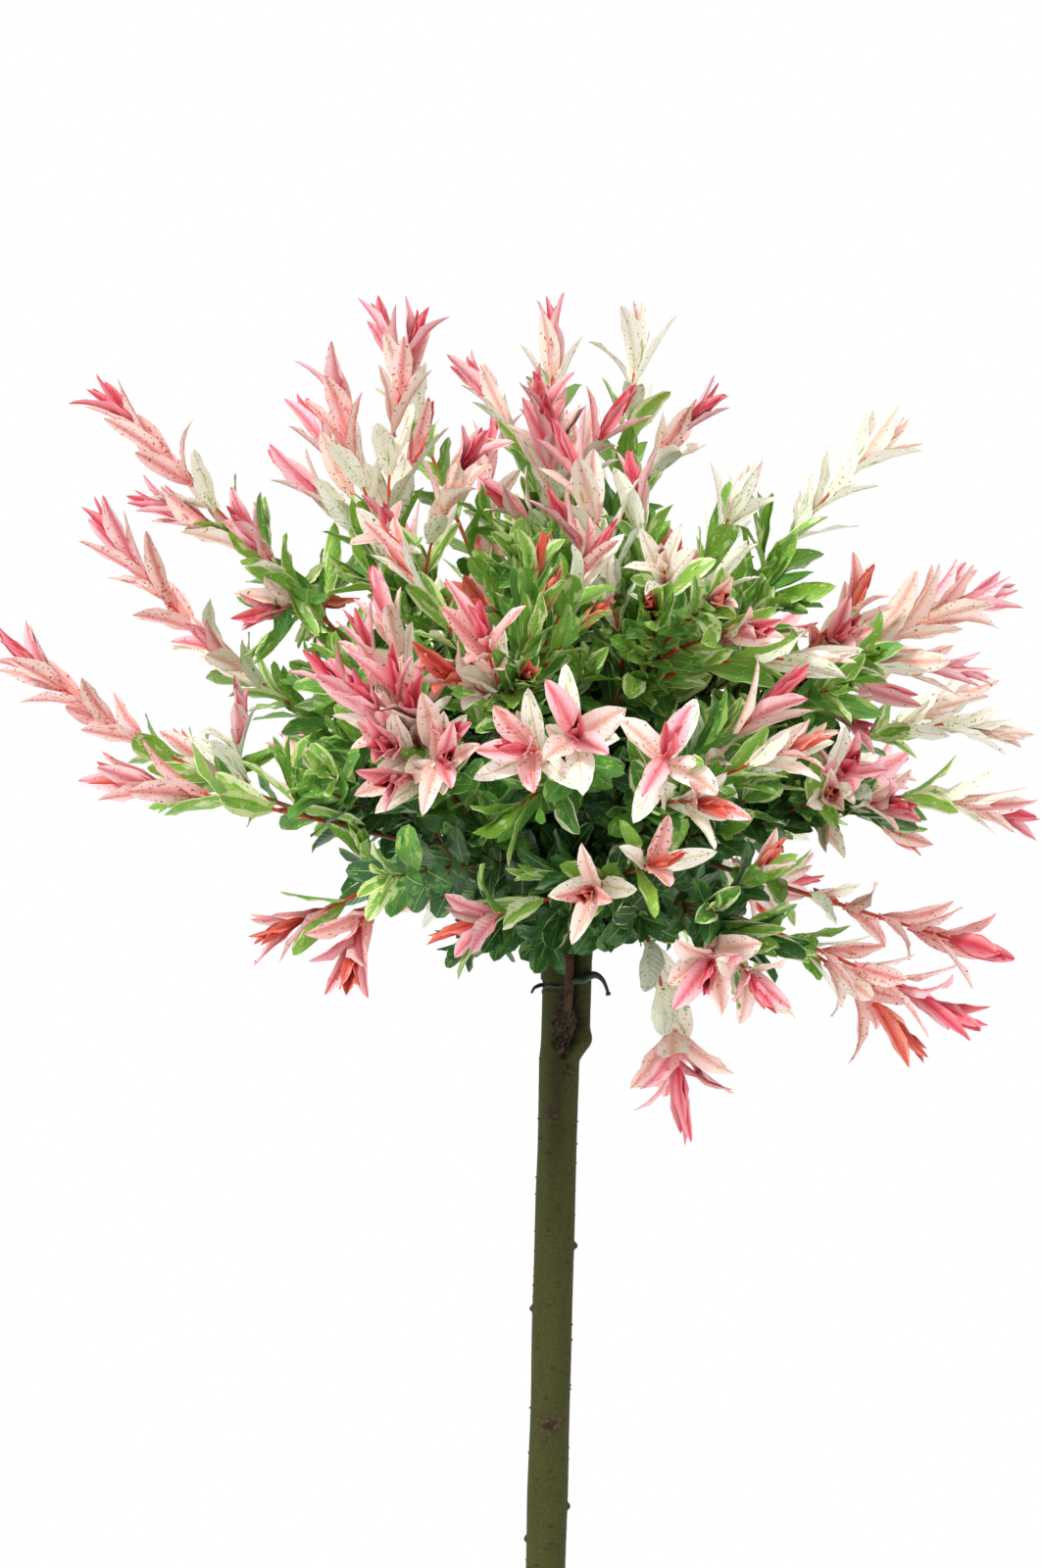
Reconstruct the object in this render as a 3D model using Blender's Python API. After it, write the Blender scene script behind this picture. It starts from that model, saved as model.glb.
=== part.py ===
"""Dappled willow grown as a small grafted standard: one clear trunk with a head of leafy shoots.

Metres, +Z up. The origin is the middle of the flat cut under the trunk, at ground level, and -Y is
the front. The trunk ends in a short leader, which carries the boughs. At each bough's fork stand the
masses of foliage, 0.3 mm clear: green ones fill the head, and pink sprays reach out of it.
"""

import math
import random

import bmesh
import bpy
from mathutils import Matrix, Vector
from mathutils.bvhtree import BVHTree

SEED = 923

# The trunk, from the ground to the graft
TRUNK_RADIUS = 0.0102
TRUNK_BASE_RADIUS = 0.0118
TRUNK_LEAN = 0.0288
TRUNK_SIDES = 14
FLARE = 0.0058
FLARE_HEIGHT = 0.020
GRAFT_HEIGHT = 0.800
GRAFT_SWELL = 0.0024
SHOULDER_HEIGHT = 0.852
SCION_RIDGE = 0.0030
SCION_ANGLE = math.radians(346)
SCION_SPREAD = 0.46

# The leader that stands on the graft, and the height that the head's directions start from
LEADER_RADIUS = 0.0066
LEADER_TOP = 0.916
HEAD_HEIGHT = 0.885

CLEARANCE = 0.0003
SPACE_MARGIN = 0.0006

# A bough runs from the leader to its fork
BOUGH_FOOT_RADIUS = 0.0040
BOUGH_FORK_RADIUS = 0.0032
BOUGH_REACH = 0.066
BOUGH_SIDES = 7
BOUGH_RINGS = 6
FORK_OFFSET = 0.0026

# name, azimuth (0 is +X, 270 the front) and elevation in degrees, height of the foot on the leader,
# and the reach of the green mass at its fork
BOUGHS = (
    ("bough_left", 186, 13, 0.866, 0.114),
    ("bough_front_left", 240, 9, 0.878, 0.142),
    ("bough_front_right", 298, 0, 0.866, 0.142),
    ("bough_right", 358, 10, 0.878, 0.128),
    ("bough_back_right", 56, 4, 0.866, 0.148),
    ("bough_back_left", 122, 6, 0.878, 0.148),
    ("bough_high_left", 180, 47, 0.900, 0.164),
    ("bough_high_front", 268, 50, 0.892, 0.158),
    ("bough_high_right", 352, 50, 0.900, 0.160),
    ("bough_high_back", 88, 48, 0.892, 0.155),
    ("bough_top", 100, 86, 0.910, 0.165),
)

# name, azimuth and elevation in degrees from the head point, reach, and how far the shoot arches up (+)
# or hangs (-) as a share of its reach
SPRAYS = (
    ("spray_left_long", 184, 21, 0.314, 0.10),
    ("spray_left_mid", 173, 36, 0.312, 0.14),
    ("spray_left_high", 187, 46, 0.345, -0.03),
    ("spray_left_low", 192, 12, 0.244, -0.02),
    ("spray_left_droop", 202, -9, 0.172, 0.08),
    ("spray_high_left", 199, 63, 0.290, 0.04),
    ("spray_top_left", 162, 71, 0.314, 0.02),
    ("spray_top", 250, 86, 0.290, 0.00),
    ("spray_top_right", 8, 82, 0.293, 0.00),
    ("spray_high_right", 10, 53.5, 0.298, -0.09),
    ("spray_right_upper", 352, 34, 0.268, -0.06),
    ("spray_right_mid", 8, 19, 0.254, -0.14),
    ("spray_right_low", 350, 9, 0.244, -0.10),
    ("spray_right_droop", 340, -9, 0.240, 0.02),
    ("spray_right_hang", 327, -16, 0.248, 0.04),
    ("spray_front_right", 283, 16, 0.238, 0.04),
    ("spray_front", 271, 19, 0.236, 0.04),
    ("spray_front_left", 243, 22, 0.242, 0.06),
    ("spray_front_high_left", 258, 31, 0.248, 0.06),
    ("spray_front_high_right", 300, 48, 0.262, 0.06),
    ("spray_front_low", 274, -2, 0.192, 0.00),
    ("spray_front_droop", 300, -15, 0.208, -0.04),
    ("spray_front_hang", 300, -40, 0.176, -0.06),
    ("spray_back_left", 128, 14, 0.262, 0.08),
    ("spray_back_high_left", 116, 42, 0.290, 0.06),
    ("spray_back", 104, 20, 0.254, 0.06),
    ("spray_back_high_right", 60, 46, 0.290, 0.06),
    ("spray_back_right", 40, 12, 0.250, 0.04),
    ("spray_back_droop_left", 104, -6, 0.200, -0.02),
    ("spray_back_droop_right", 66, -10, 0.215, -0.04),
)

# Stems and twigs of the foliage
TWIG_RADIUS = 0.0016
TWIG_TIP_RADIUS = 0.0011
TWIG_SIDES = 3
STEM_RINGS = 8
GOLDEN_ANGLE = math.radians(137.5)

# A spray: a bare stem, then a leading shoot and one side shoot, in slender leaves
SPRAY_BARE = 0.38
SPRAY_PITCH = 0.023
SPRAY_LEAF = (0.050, 0.0175)
SPRAY_SIDE_AT = 0.42
SPRAY_SIDE_SHARE = 0.50
SPRAY_SIDE_ANGLE = math.radians(26)

# A green mass: a short stem with side twigs in broad leaves. It claims more space than a spray does.
GREEN_SPLAY = 0.026
GREEN_TWIGS = 9
GREEN_TWIG_LENGTH = 0.050
GREEN_TWIG_ANGLE = math.radians(56)
GREEN_PITCH = 0.021
GREEN_LEAF = (0.047, 0.0240)
GREEN_CLAIM = 0.022

# A leaf: its root is sunk in its twig, and its sides are raised from its keel. The blade is the part
# past the crowded roots, and blades of one mass don't cross.
LEAF_WIDEST = 0.45
LEAF_FOLD = 0.16
LEAF_SINK = 0.0010
PAIR_OFFSET = 0.0009
LAST_PAIR_AT = 0.97
LEAF_TURNS = (0, 0.5, -0.5, 1.0, -1.0)
BLADE_BEGINS = 0.12

BARK_COLOUR = (0.165, 0.185, 0.075)
YOUNG_BARK_COLOUR = (0.170, 0.085, 0.050)
GREEN_COLOUR = (0.130, 0.290, 0.075)
PINK_COLOUR = (0.830, 0.400, 0.400)


def clear_scene():
    for obj in list(bpy.data.objects):
        bpy.data.objects.remove(obj, do_unlink=True)


def make_material(name, colour, roughness):
    material = bpy.data.materials.new(name)
    material.use_nodes = True
    shader = material.node_tree.nodes["Principled BSDF"]
    shader.inputs["Base Color"].default_value = (*colour, 1)
    shader.inputs["Roughness"].default_value = roughness
    shader.inputs["Metallic"].default_value = 0
    return material


def make_object(name, shape, material, collection=None):
    """An object from (points, faces), with its faces turned outwards."""
    mesh = bpy.data.meshes.new(name)
    mesh.from_pydata(*[shape[0], [], shape[1]])
    work = bmesh.new()
    work.from_mesh(mesh)
    bmesh.ops.recalc_face_normals(work, faces=work.faces)
    work.to_mesh(mesh)
    work.free()
    obj = bpy.data.objects.new(name, mesh)
    mesh.materials.append(material)
    (collection or bpy.context.scene.collection).objects.link(obj)
    return obj


def direction(azimuth, elevation):
    """Unit vector from two angles in degrees."""
    a, e = math.radians(azimuth), math.radians(elevation)
    return Vector((math.cos(a) * math.cos(e), math.sin(a) * math.cos(e), math.sin(e)))


def smooth(x):
    x = min(max(x, 0), 1)
    return x * x * (3 - 2 * x)


def trunk_axis(z):
    """Middle of the trunk at height z: it leans towards +X, with a slow bend."""
    bend = 0.0006 * math.sin(math.pi * z / GRAFT_HEIGHT)
    return Vector((TRUNK_LEAN * z + bend, 0.6 * bend, z))


def trunk_radius(z, angle):
    taper = min(z / 0.45, 1)
    radius = TRUNK_BASE_RADIUS + (TRUNK_RADIUS - TRUNK_BASE_RADIUS) * taper
    radius += FLARE * math.exp(-z / FLARE_HEIGHT) * (1 + 0.18 * math.cos(5 * angle + 0.6))
    graft = smooth((z - GRAFT_HEIGHT + 0.004) / 0.010)
    radius += GRAFT_SWELL * graft * (0.35 + 0.65 * math.cos(angle))
    turn = math.remainder(angle - SCION_ANGLE, 2 * math.pi)
    radius += SCION_RIDGE * graft * math.exp(-((turn / SCION_SPREAD) ** 2))
    shoulder = smooth((z - SHOULDER_HEIGHT + 0.006) / 0.014)
    leader = LEADER_RADIUS - 0.0012 * (z - SHOULDER_HEIGHT) / (LEADER_TOP - SHOULDER_HEIGHT)
    return radius + (leader - radius) * shoulder


def trunk_heights():
    """Heights of the trunk's rings: close at the flare and the graft, wide on the clear length."""
    flare = [0, 0.006, 0.014, 0.026, 0.044, 0.070]
    clear = [0.12 + 0.085 * i for i in range(8)]
    graft = [0.794 + 0.005 * i for i in range(4)]
    shoulder = [0.824, 0.838] + [0.844 + 0.005 * i for i in range(5)]
    return flare + clear + graft + shoulder + [0.885, LEADER_TOP]


def trunk_shape(extra=0.0):
    """The trunk and leader as (points, faces), grown outwards by extra."""
    heights = trunk_heights()
    rings = []
    for z in heights:
        ring = []
        for i in range(TRUNK_SIDES):
            angle = 2 * math.pi * i / TRUNK_SIDES
            radius = trunk_radius(z, angle) + extra
            place = trunk_axis(z)
            place += Vector((radius * math.cos(angle), radius * math.sin(angle), 0))
            ring.append(place)
        rings.append(ring)
    for point in rings[0]:
        point.z -= extra
    for point in rings[-1]:
        point.z += extra
    return skin(rings)


def skin(rings):
    """Joins rings of equal length into a closed surface with flat ends."""
    sides = len(rings[0])
    points = [p for ring in rings for p in ring]
    faces = [tuple(reversed(range(sides)))]
    for r in range(len(rings) - 1):
        for i in range(sides):
            j = (i + 1) % sides
            low, high = r * sides, (r + 1) * sides
            faces.append((low + i, low + j, high + j, high + i))
    last = (len(rings) - 1) * sides
    faces.append(tuple(range(last, last + sides)))
    return points, faces


def bezier(start, middle, end, t):
    return start * (1 - t) ** 2 + middle * (2 * t * (1 - t)) + end * t * t


def bezier_path(start, middle, end, count):
    return [bezier(start, middle, end, i / (count - 1)) for i in range(count)]


def tangent_at(path, i):
    before, after = path[max(i - 1, 0)], path[min(i + 1, len(path) - 1)]
    return (after - before).normalized()


def any_normal(along):
    """A unit vector square to along, upwards where it can be."""
    up = Vector((0, 0, 1)) if abs(along.z) < 0.9 else Vector((1, 0, 0))
    return (up - along * up.dot(along)).normalized()


def limb_shape(path, radii, sides):
    """A tube of round sections along path as (points, faces)."""
    rings = []
    normal = any_normal(tangent_at(path, 0))
    for i, place in enumerate(path):
        along = tangent_at(path, i)
        normal = (normal - along * normal.dot(along)).normalized()
        across = along.cross(normal)
        turns = [2 * math.pi * k / sides for k in range(sides)]
        ring = [place + (normal * math.cos(a) + across * math.sin(a)) * radii[i] for a in turns]
        rings.append(ring)
    return skin(rings)


def tapering(first, last, count):
    return [first + (last - first) * i / (count - 1) for i in range(count)]


def leaf_shape(root, along, face, size, extra=0.0, begin=0.0):
    """A leaf of 4 faces as (points, faces): a keel from heel to tip, and two raised sides.

    It runs from root, its upper side looks to face, and begin leaves out that share of its length.
    """
    length, width = size[0] + extra, size[1] + 2 * extra
    side = along.cross(face).normalized()
    widest = root + along * (length * LEAF_WIDEST) + face * (width * LEAF_FOLD)
    points = [
        root + along * (begin * length - extra) - face * extra,
        widest - side * width / 2,
        widest + side * width / 2,
        root + along * length - face * extra,
    ]
    faces = [(0, 1, 2), (1, 3, 2), (0, 3, 1), (0, 2, 3)]
    return points, faces


def tree_of(shape):
    return BVHTree.FromPolygons([tuple(p) for p in shape[0]], shape[1])


def joined(shapes):
    points, faces = [], []
    for shape in shapes:
        base = len(points)
        points += shape[0]
        faces += [tuple(i + base for i in face) for face in shape[1]]
    return points, faces


def make_bough(name, azimuth, elevation, foot_height, material, cutter):
    """One tapering limb, cut 0.3 mm clear of the trunk. Returns (fork point, direction there, shape)."""
    foot = trunk_axis(foot_height)
    head = trunk_axis(HEAD_HEIGHT)
    heading = direction(azimuth, elevation)
    fork = head + heading * BOUGH_REACH
    rise = Vector((0, 0, 0.006 if elevation > 30 else -0.004))
    middle = foot.lerp(fork, 0.5) + (rise if elevation < 80 else Vector())
    path = bezier_path(foot, middle, fork, BOUGH_RINGS)
    shape = limb_shape(path, tapering(BOUGH_FOOT_RADIUS, BOUGH_FORK_RADIUS, BOUGH_RINGS), BOUGH_SIDES)
    bough = make_object(name, shape, material)
    cut = bough.modifiers.new("clear of the trunk", "BOOLEAN")
    cut.operation = "DIFFERENCE"
    cut.solver = "EXACT"
    cut.object = cutter
    return fork, tangent_at(path, BOUGH_RINGS - 1), shape


def nearest_bough(heading):
    return max(BOUGHS, key=lambda row: direction(row[1], row[2]).dot(heading))[0]


def widest_gap_middle(turns):
    """The angle in the middle of the widest gap between angles round a circle."""
    turns = sorted(turn % (2 * math.pi) for turn in turns)
    gaps = [(b - a, a) for a, b in zip(turns, turns[1:] + [turns[0] + 2 * math.pi])]
    gap, start = max(gaps)
    return start + gap / 2


def fork_sides(fork, along, targets):
    """A unit vector for each stem at a fork: evenly turned, each towards its own target."""
    across = any_normal(along)
    other = along.cross(across)
    turns = {}
    for name, target in targets.items():
        offset = target - fork
        turns[name] = math.atan2(offset.dot(other), offset.dot(across))
    for name in targets:
        if name.startswith("green"):
            turns[name] = widest_gap_middle([t for other_name, t in turns.items() if other_name != name])
    names = sorted(turns, key=lambda name: turns[name] % (2 * math.pi))
    step = 2 * math.pi / len(names)
    errors = [turns[name] - i * step for i, name in enumerate(names)]
    first = math.atan2(sum(map(math.sin, errors)), sum(map(math.cos, errors)))
    sides = {}
    for i, name in enumerate(names):
        angle = first + i * step
        sides[name] = across * math.cos(angle) + other * math.sin(angle)
    return sides


class Mass:
    """One mass of foliage: a stem, and then the twigs and leaves that fit its own space.

    masses and limbs are shared lists: all the masses, and (name, tree) of each solid to keep clear of.
    """

    def __init__(self, name, path, seed, masses, limbs):
        self.name = name
        self.path = path
        self.is_spray = name.startswith("spray")
        self.claim = 0 if self.is_spray else GREEN_CLAIM
        self.spine = path[int(SPRAY_BARE * (STEM_RINGS - 1)):] if self.is_spray else path
        self.pieces = [limb_shape(path, tapering(TWIG_RADIUS, TWIG_TIP_RADIUS, STEM_RINGS), TWIG_SIDES)]
        self.blades = []
        self.random = random.Random(seed)
        self.masses = masses
        self.limbs = limbs

    def distance(self, point):
        """How far a point is from the leafy part of the stem, less the extra that the mass claims."""
        return min((point - place).length for place in self.spine) - self.claim

    def holds(self, points):
        """True if every point is nearer to this mass than to any other."""
        for point in points:
            own = self.distance(point) + SPACE_MARGIN
            if any(other is not self and other.distance(point) < own for other in self.masses):
                return False
        return True

    def add(self, shape, test_shape):
        """Keeps the piece if it stays in this mass's space and touches no limb and no other mass."""
        if not self.holds(test_shape[0]):
            return False
        tree = tree_of(test_shape)
        if any(tree.overlap(limb) for name, limb in self.limbs if name != self.name):
            return False
        self.pieces.append(shape)
        return True

    def add_leaf(self, root, along, face, size):
        """Adds a leaf, unless it doesn't fit or would cross another leaf of this mass."""
        face = (face - along * face.dot(along)).normalized()
        blade = tree_of(leaf_shape(root, along, face, size, 0, BLADE_BEGINS))
        if any(blade.overlap(other) for other in self.blades):
            return False
        fits = self.add(leaf_shape(root, along, face, size), leaf_shape(root, along, face, size, CLEARANCE))
        if fits:
            self.blades.append(blade)
        return fits

    def add_leaf_pairs(self, path, pitch, size, first_at):
        """Pairs of leaves along a shoot, each turned a quarter from the last, closing up at its tip.

        A leaf that doesn't fit is turned about the shoot, and then left out.
        """
        length = sum((b - a).length for a, b in zip(path, path[1:]))
        count = max(1, int((1 - first_at) * length / pitch))
        for k in range(count + 1):
            share = k / count
            t = (first_at + (LAST_PAIR_AT - first_at) * share) * (len(path) - 1)
            i = min(int(t), len(path) - 2)
            place = path[i].lerp(path[i + 1], t - i)
            along = tangent_at(path, i)
            across = any_normal(along)
            turn = k * math.pi / 2 + self.random.uniform(-0.4, 0.4)
            opening = math.radians(46 - 28 * share + self.random.uniform(-5, 5))
            scale = self.random.uniform(0.88, 1.10)
            leaf_size = (size[0] * scale, size[1] * scale)
            for half_turn in (0, math.pi):
                for extra_turn in LEAF_TURNS:
                    out = Matrix.Rotation(turn + half_turn + extra_turn, 3, along) @ across
                    heading = (along * math.cos(opening) + out * math.sin(opening)).normalized()
                    root = place - heading * LEAF_SINK + along * (PAIR_OFFSET if half_turn else 0)
                    if self.add_leaf(root, heading, along, leaf_size):
                        break

    def add_twig(self, ring, angle, turn, length):
        """A side twig that curves up a little. Returns its path, or None if it didn't fit."""
        root = self.path[ring]
        along = tangent_at(self.path, ring)
        out = Matrix.Rotation(turn, 3, along) @ any_normal(along)
        heading = along * math.cos(angle) + out * math.sin(angle)
        end = root + heading * length + Vector((0, 0, 0.10 * length))
        path = bezier_path(root, root + heading * length * 0.5, end, 4)
        radii = tapering(TWIG_RADIUS, TWIG_TIP_RADIUS, 4)
        test_radii = [radius + CLEARANCE for radius in radii]
        fits = self.add(limb_shape(path, radii, TWIG_SIDES), limb_shape(path, test_radii, TWIG_SIDES))
        return path if fits else None

    def grow_spray(self):
        """A leading shoot in pairs of slender leaves, and one side shoot."""
        self.add_leaf_pairs(self.path, SPRAY_PITCH, SPRAY_LEAF, SPRAY_BARE)
        ring = int(SPRAY_SIDE_AT * (STEM_RINGS - 1))
        length = (self.path[-1] - self.path[ring]).length * SPRAY_SIDE_SHARE
        first_turn = self.random.uniform(0, 2 * math.pi)
        for attempt in range(6):
            turn = first_turn + attempt * GOLDEN_ANGLE
            path = self.add_twig(ring, SPRAY_SIDE_ANGLE, turn, length)
            if path:
                self.add_leaf_pairs(path, SPRAY_PITCH, SPRAY_LEAF, 0.45)
                break

    def grow_green(self):
        """Side twigs in a spiral up the stem, with broad leaves on them and on the stem."""
        for k in range(GREEN_TWIGS):
            ring = 1 + int(k * (STEM_RINGS - 3) / GREEN_TWIGS)
            length = GREEN_TWIG_LENGTH * self.random.uniform(0.85, 1.15)
            path = self.add_twig(ring, GREEN_TWIG_ANGLE, k * GOLDEN_ANGLE + 0.7, length)
            if path:
                self.add_leaf_pairs(path, GREEN_PITCH, GREEN_LEAF, 0.40)
        self.add_leaf_pairs(self.path, GREEN_PITCH, GREEN_LEAF, 0.30)

    def fuse(self, material):
        """Joins the pieces into one solid, by one union on a collection, and applies it."""
        parts = bpy.data.collections.new(self.name + "_pieces")
        bpy.context.scene.collection.children.link(parts)
        for i, shape in enumerate(self.pieces[1:]):
            make_object(f"{self.name}_piece_{i}", shape, material, parts)
        obj = make_object(self.name, self.pieces[0], material)
        union = obj.modifiers.new("fuse", "BOOLEAN")
        union.operation = "UNION"
        union.operand_type = "COLLECTION"
        union.collection = parts
        union.solver = "MANIFOLD"
        graph = bpy.context.evaluated_depsgraph_get()
        fused = bpy.data.meshes.new_from_object(obj.evaluated_get(graph))
        obj.modifiers.clear()
        obj.data = fused
        for piece in list(parts.objects):
            bpy.data.objects.remove(piece, do_unlink=True)
        bpy.data.collections.remove(parts)


def grow_paths(forks):
    """Stem paths of all masses: a green one straight out of each fork, and the sprays at the nearest."""
    head = trunk_axis(HEAD_HEIGHT)
    children = {}
    arches = {}
    for name, azimuth, elevation, _, reach in BOUGHS:
        green = name.replace("bough", "green")
        children[name] = {green: head + direction(azimuth, elevation) * reach}
    for name, azimuth, elevation, reach, arch in SPRAYS:
        heading = direction(azimuth, elevation)
        children[nearest_bough(heading)][name] = head + heading * (reach - 0.8 * SPRAY_LEAF[0])
        arches[name] = arch * reach
    paths = {}
    for bough, targets in children.items():
        fork, along = forks[bough]
        for name, side in fork_sides(fork, along, targets).items():
            end = targets[name]
            if name.startswith("green"):
                end += side * GREEN_SPLAY
            tilt = along.angle(end - fork)
            gap = CLEARANCE + TWIG_RADIUS * math.sin(tilt)
            start = fork + along * gap + side * FORK_OFFSET
            reach = (end - start).length
            middle = start.lerp(end, 0.5) + (along * 0.12 + side * 0.06) * reach
            middle.z -= arches.get(name, 0)
            paths[name] = bezier_path(start, middle, end, STEM_RINGS)
    return paths


def main():
    clear_scene()
    bark = make_material("bark", BARK_COLOUR, 0.75)
    young_bark = make_material("young_bark", YOUNG_BARK_COLOUR, 0.60)
    green_leaf = make_material("green_leaf", GREEN_COLOUR, 0.50)
    pink_leaf = make_material("pink_leaf", PINK_COLOUR, 0.50)

    trunk = trunk_shape()
    make_object("trunk", trunk, bark)
    cutter = make_object("trunk_clearance", trunk_shape(CLEARANCE), bark)
    cutter.hide_render = True
    cutter.display_type = "WIRE"

    limbs = [("trunk", tree_of(trunk))]
    forks = {}
    for name, azimuth, elevation, foot_height, _ in BOUGHS:
        fork, along, shape = make_bough(name, azimuth, elevation, foot_height, young_bark, cutter)
        forks[name] = (fork, along)
        limbs.append((name, tree_of(shape)))

    masses = []
    for index, (name, path) in enumerate(grow_paths(forks).items()):
        mass = Mass(name, path, SEED + index, masses, limbs)
        masses.append(mass)
        limbs.append((name, tree_of(mass.pieces[0])))
    for mass in masses:
        mass.grow_spray() if mass.is_spray else mass.grow_green()
        limbs.append((mass.name, tree_of(joined(mass.pieces[1:]))))
        mass.fuse(pink_leaf if mass.is_spray else green_leaf)


main()
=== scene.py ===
"""Looks of the dappled willow standard: bark in relief, boughs, twigs and each leaf at its real size.

Metres, +Z up, -Y towards the camera. Trunk, boughs and stems stand where the solids have them. From
the same forks the shoots branch on to finer ones, within the same reach. Each colour of leaf is a
piece of its own, and a leaf's colour comes from its shoot and its place along it.
"""

import math
import random

import bpy
import numpy as np
from mathutils import Matrix, Vector, noise


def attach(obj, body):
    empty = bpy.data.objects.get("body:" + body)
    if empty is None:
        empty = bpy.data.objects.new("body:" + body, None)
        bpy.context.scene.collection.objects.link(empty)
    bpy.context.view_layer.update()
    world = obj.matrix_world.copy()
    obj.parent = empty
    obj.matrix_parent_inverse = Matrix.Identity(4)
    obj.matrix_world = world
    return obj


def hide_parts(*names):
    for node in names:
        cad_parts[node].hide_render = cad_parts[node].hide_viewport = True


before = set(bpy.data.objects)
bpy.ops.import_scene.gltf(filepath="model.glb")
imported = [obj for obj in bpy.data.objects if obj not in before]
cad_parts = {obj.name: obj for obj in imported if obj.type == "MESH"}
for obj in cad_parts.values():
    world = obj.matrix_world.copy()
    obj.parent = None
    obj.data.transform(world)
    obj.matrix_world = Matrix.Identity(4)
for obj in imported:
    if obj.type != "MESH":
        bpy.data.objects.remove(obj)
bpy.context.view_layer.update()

SEED = 517
GOLDEN_ANGLE = math.radians(137.5)

# Without a seed, noise_vector would be different in each run
noise.seed_set(SEED)

# The trunk and its leader, as in the solids
TRUNK_RADIUS = 0.0102
TRUNK_BASE_RADIUS = 0.0118
TRUNK_TAPER_HEIGHT = 0.45
TRUNK_LEAN = 0.0288
TRUNK_BEND = 0.0006
TRUNK_BEND_BACK = 0.6
FLARE = 0.0058
FLARE_HEIGHT = 0.020
FLARE_LOBES = 5
FLARE_LOBE_SHARE = 0.18
GRAFT_HEIGHT = 0.800
GRAFT_SWELL = 0.0024
GRAFT_SWELL_RISE = 0.012
SHOULDER_HEIGHT = 0.852
SHOULDER_DROP = 0.008
SHOULDER_LENGTH = 0.018
LEADER_RADIUS = 0.0066
LEADER_TAPER = 0.0012
LEADER_TOP = 0.916
HEAD_HEIGHT = 0.885

BOUGH_FOOT_RADIUS = 0.0040
BOUGH_FORK_RADIUS = 0.0032
BOUGH_REACH = 0.066
BOUGH_RINGS = 6
HIGH_BOUGH_RISE = 0.006
LOW_BOUGH_RISE = -0.004
BOUGH_TUBE_RINGS = 30
BOUGH_SIDES = 16
FORK_OFFSET = 0.0026
FORK_DEPTH = 0.004
STEM_BEND_ALONG = 0.12
STEM_BEND_OUT = 0.06
GREEN_SPLAY = 0.026

# Rings and sides of the stems' meshes, and the ring of a shoot up to which its bark is old
STEM_RINGS = 15
BODY_STEM_RINGS = 7
OLD_STEM_RINGS = 5
STEM_SIDES = 6

LENTICEL_LENGTH = (0.0008, 0.0019)
LENTICEL_RADIUS = (0.00035, 0.0006)
LENTICEL_STEP = (0.0008, 0.0032)
LENTICEL_HEIGHTS = (0.02, 0.79)
LENTICEL_RISE = 0.00002

# The stage: floor, sun and the photo's camera, in metres, with turns in degrees, lens and sensor in mm
FLOOR_RADIUS = 2.2
FLOOR_HEIGHT = -0.0005
FLOOR_SIDES = 64
FLOOR_COLOUR = (0.86, 0.86, 0.86, 1)
SUN_ENERGY = 2.0
SUN_WIDTH = math.radians(12)
SUN_TURN = (42, -14, -24)
CAMERA_PLACE = (0.00325, -2.2, 0.93)
LENS = 99
SENSOR_HEIGHT = 36

# name, azimuth (0 is +X, 270 the front) and elevation in degrees, height of the foot on the leader,
# and the reach of the green mass at its fork
BOUGHS = (
    ("bough_left", 186, 13, 0.866, 0.114),
    ("bough_front_left", 240, 9, 0.878, 0.142),
    ("bough_front_right", 298, 0, 0.866, 0.142),
    ("bough_right", 358, 10, 0.878, 0.128),
    ("bough_back_right", 56, 4, 0.866, 0.148),
    ("bough_back_left", 122, 6, 0.878, 0.148),
    ("bough_high_left", 180, 47, 0.900, 0.164),
    ("bough_high_front", 268, 50, 0.892, 0.158),
    ("bough_high_right", 352, 50, 0.900, 0.160),
    ("bough_high_back", 88, 48, 0.892, 0.155),
    ("bough_top", 100, 86, 0.910, 0.165),
)

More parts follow.
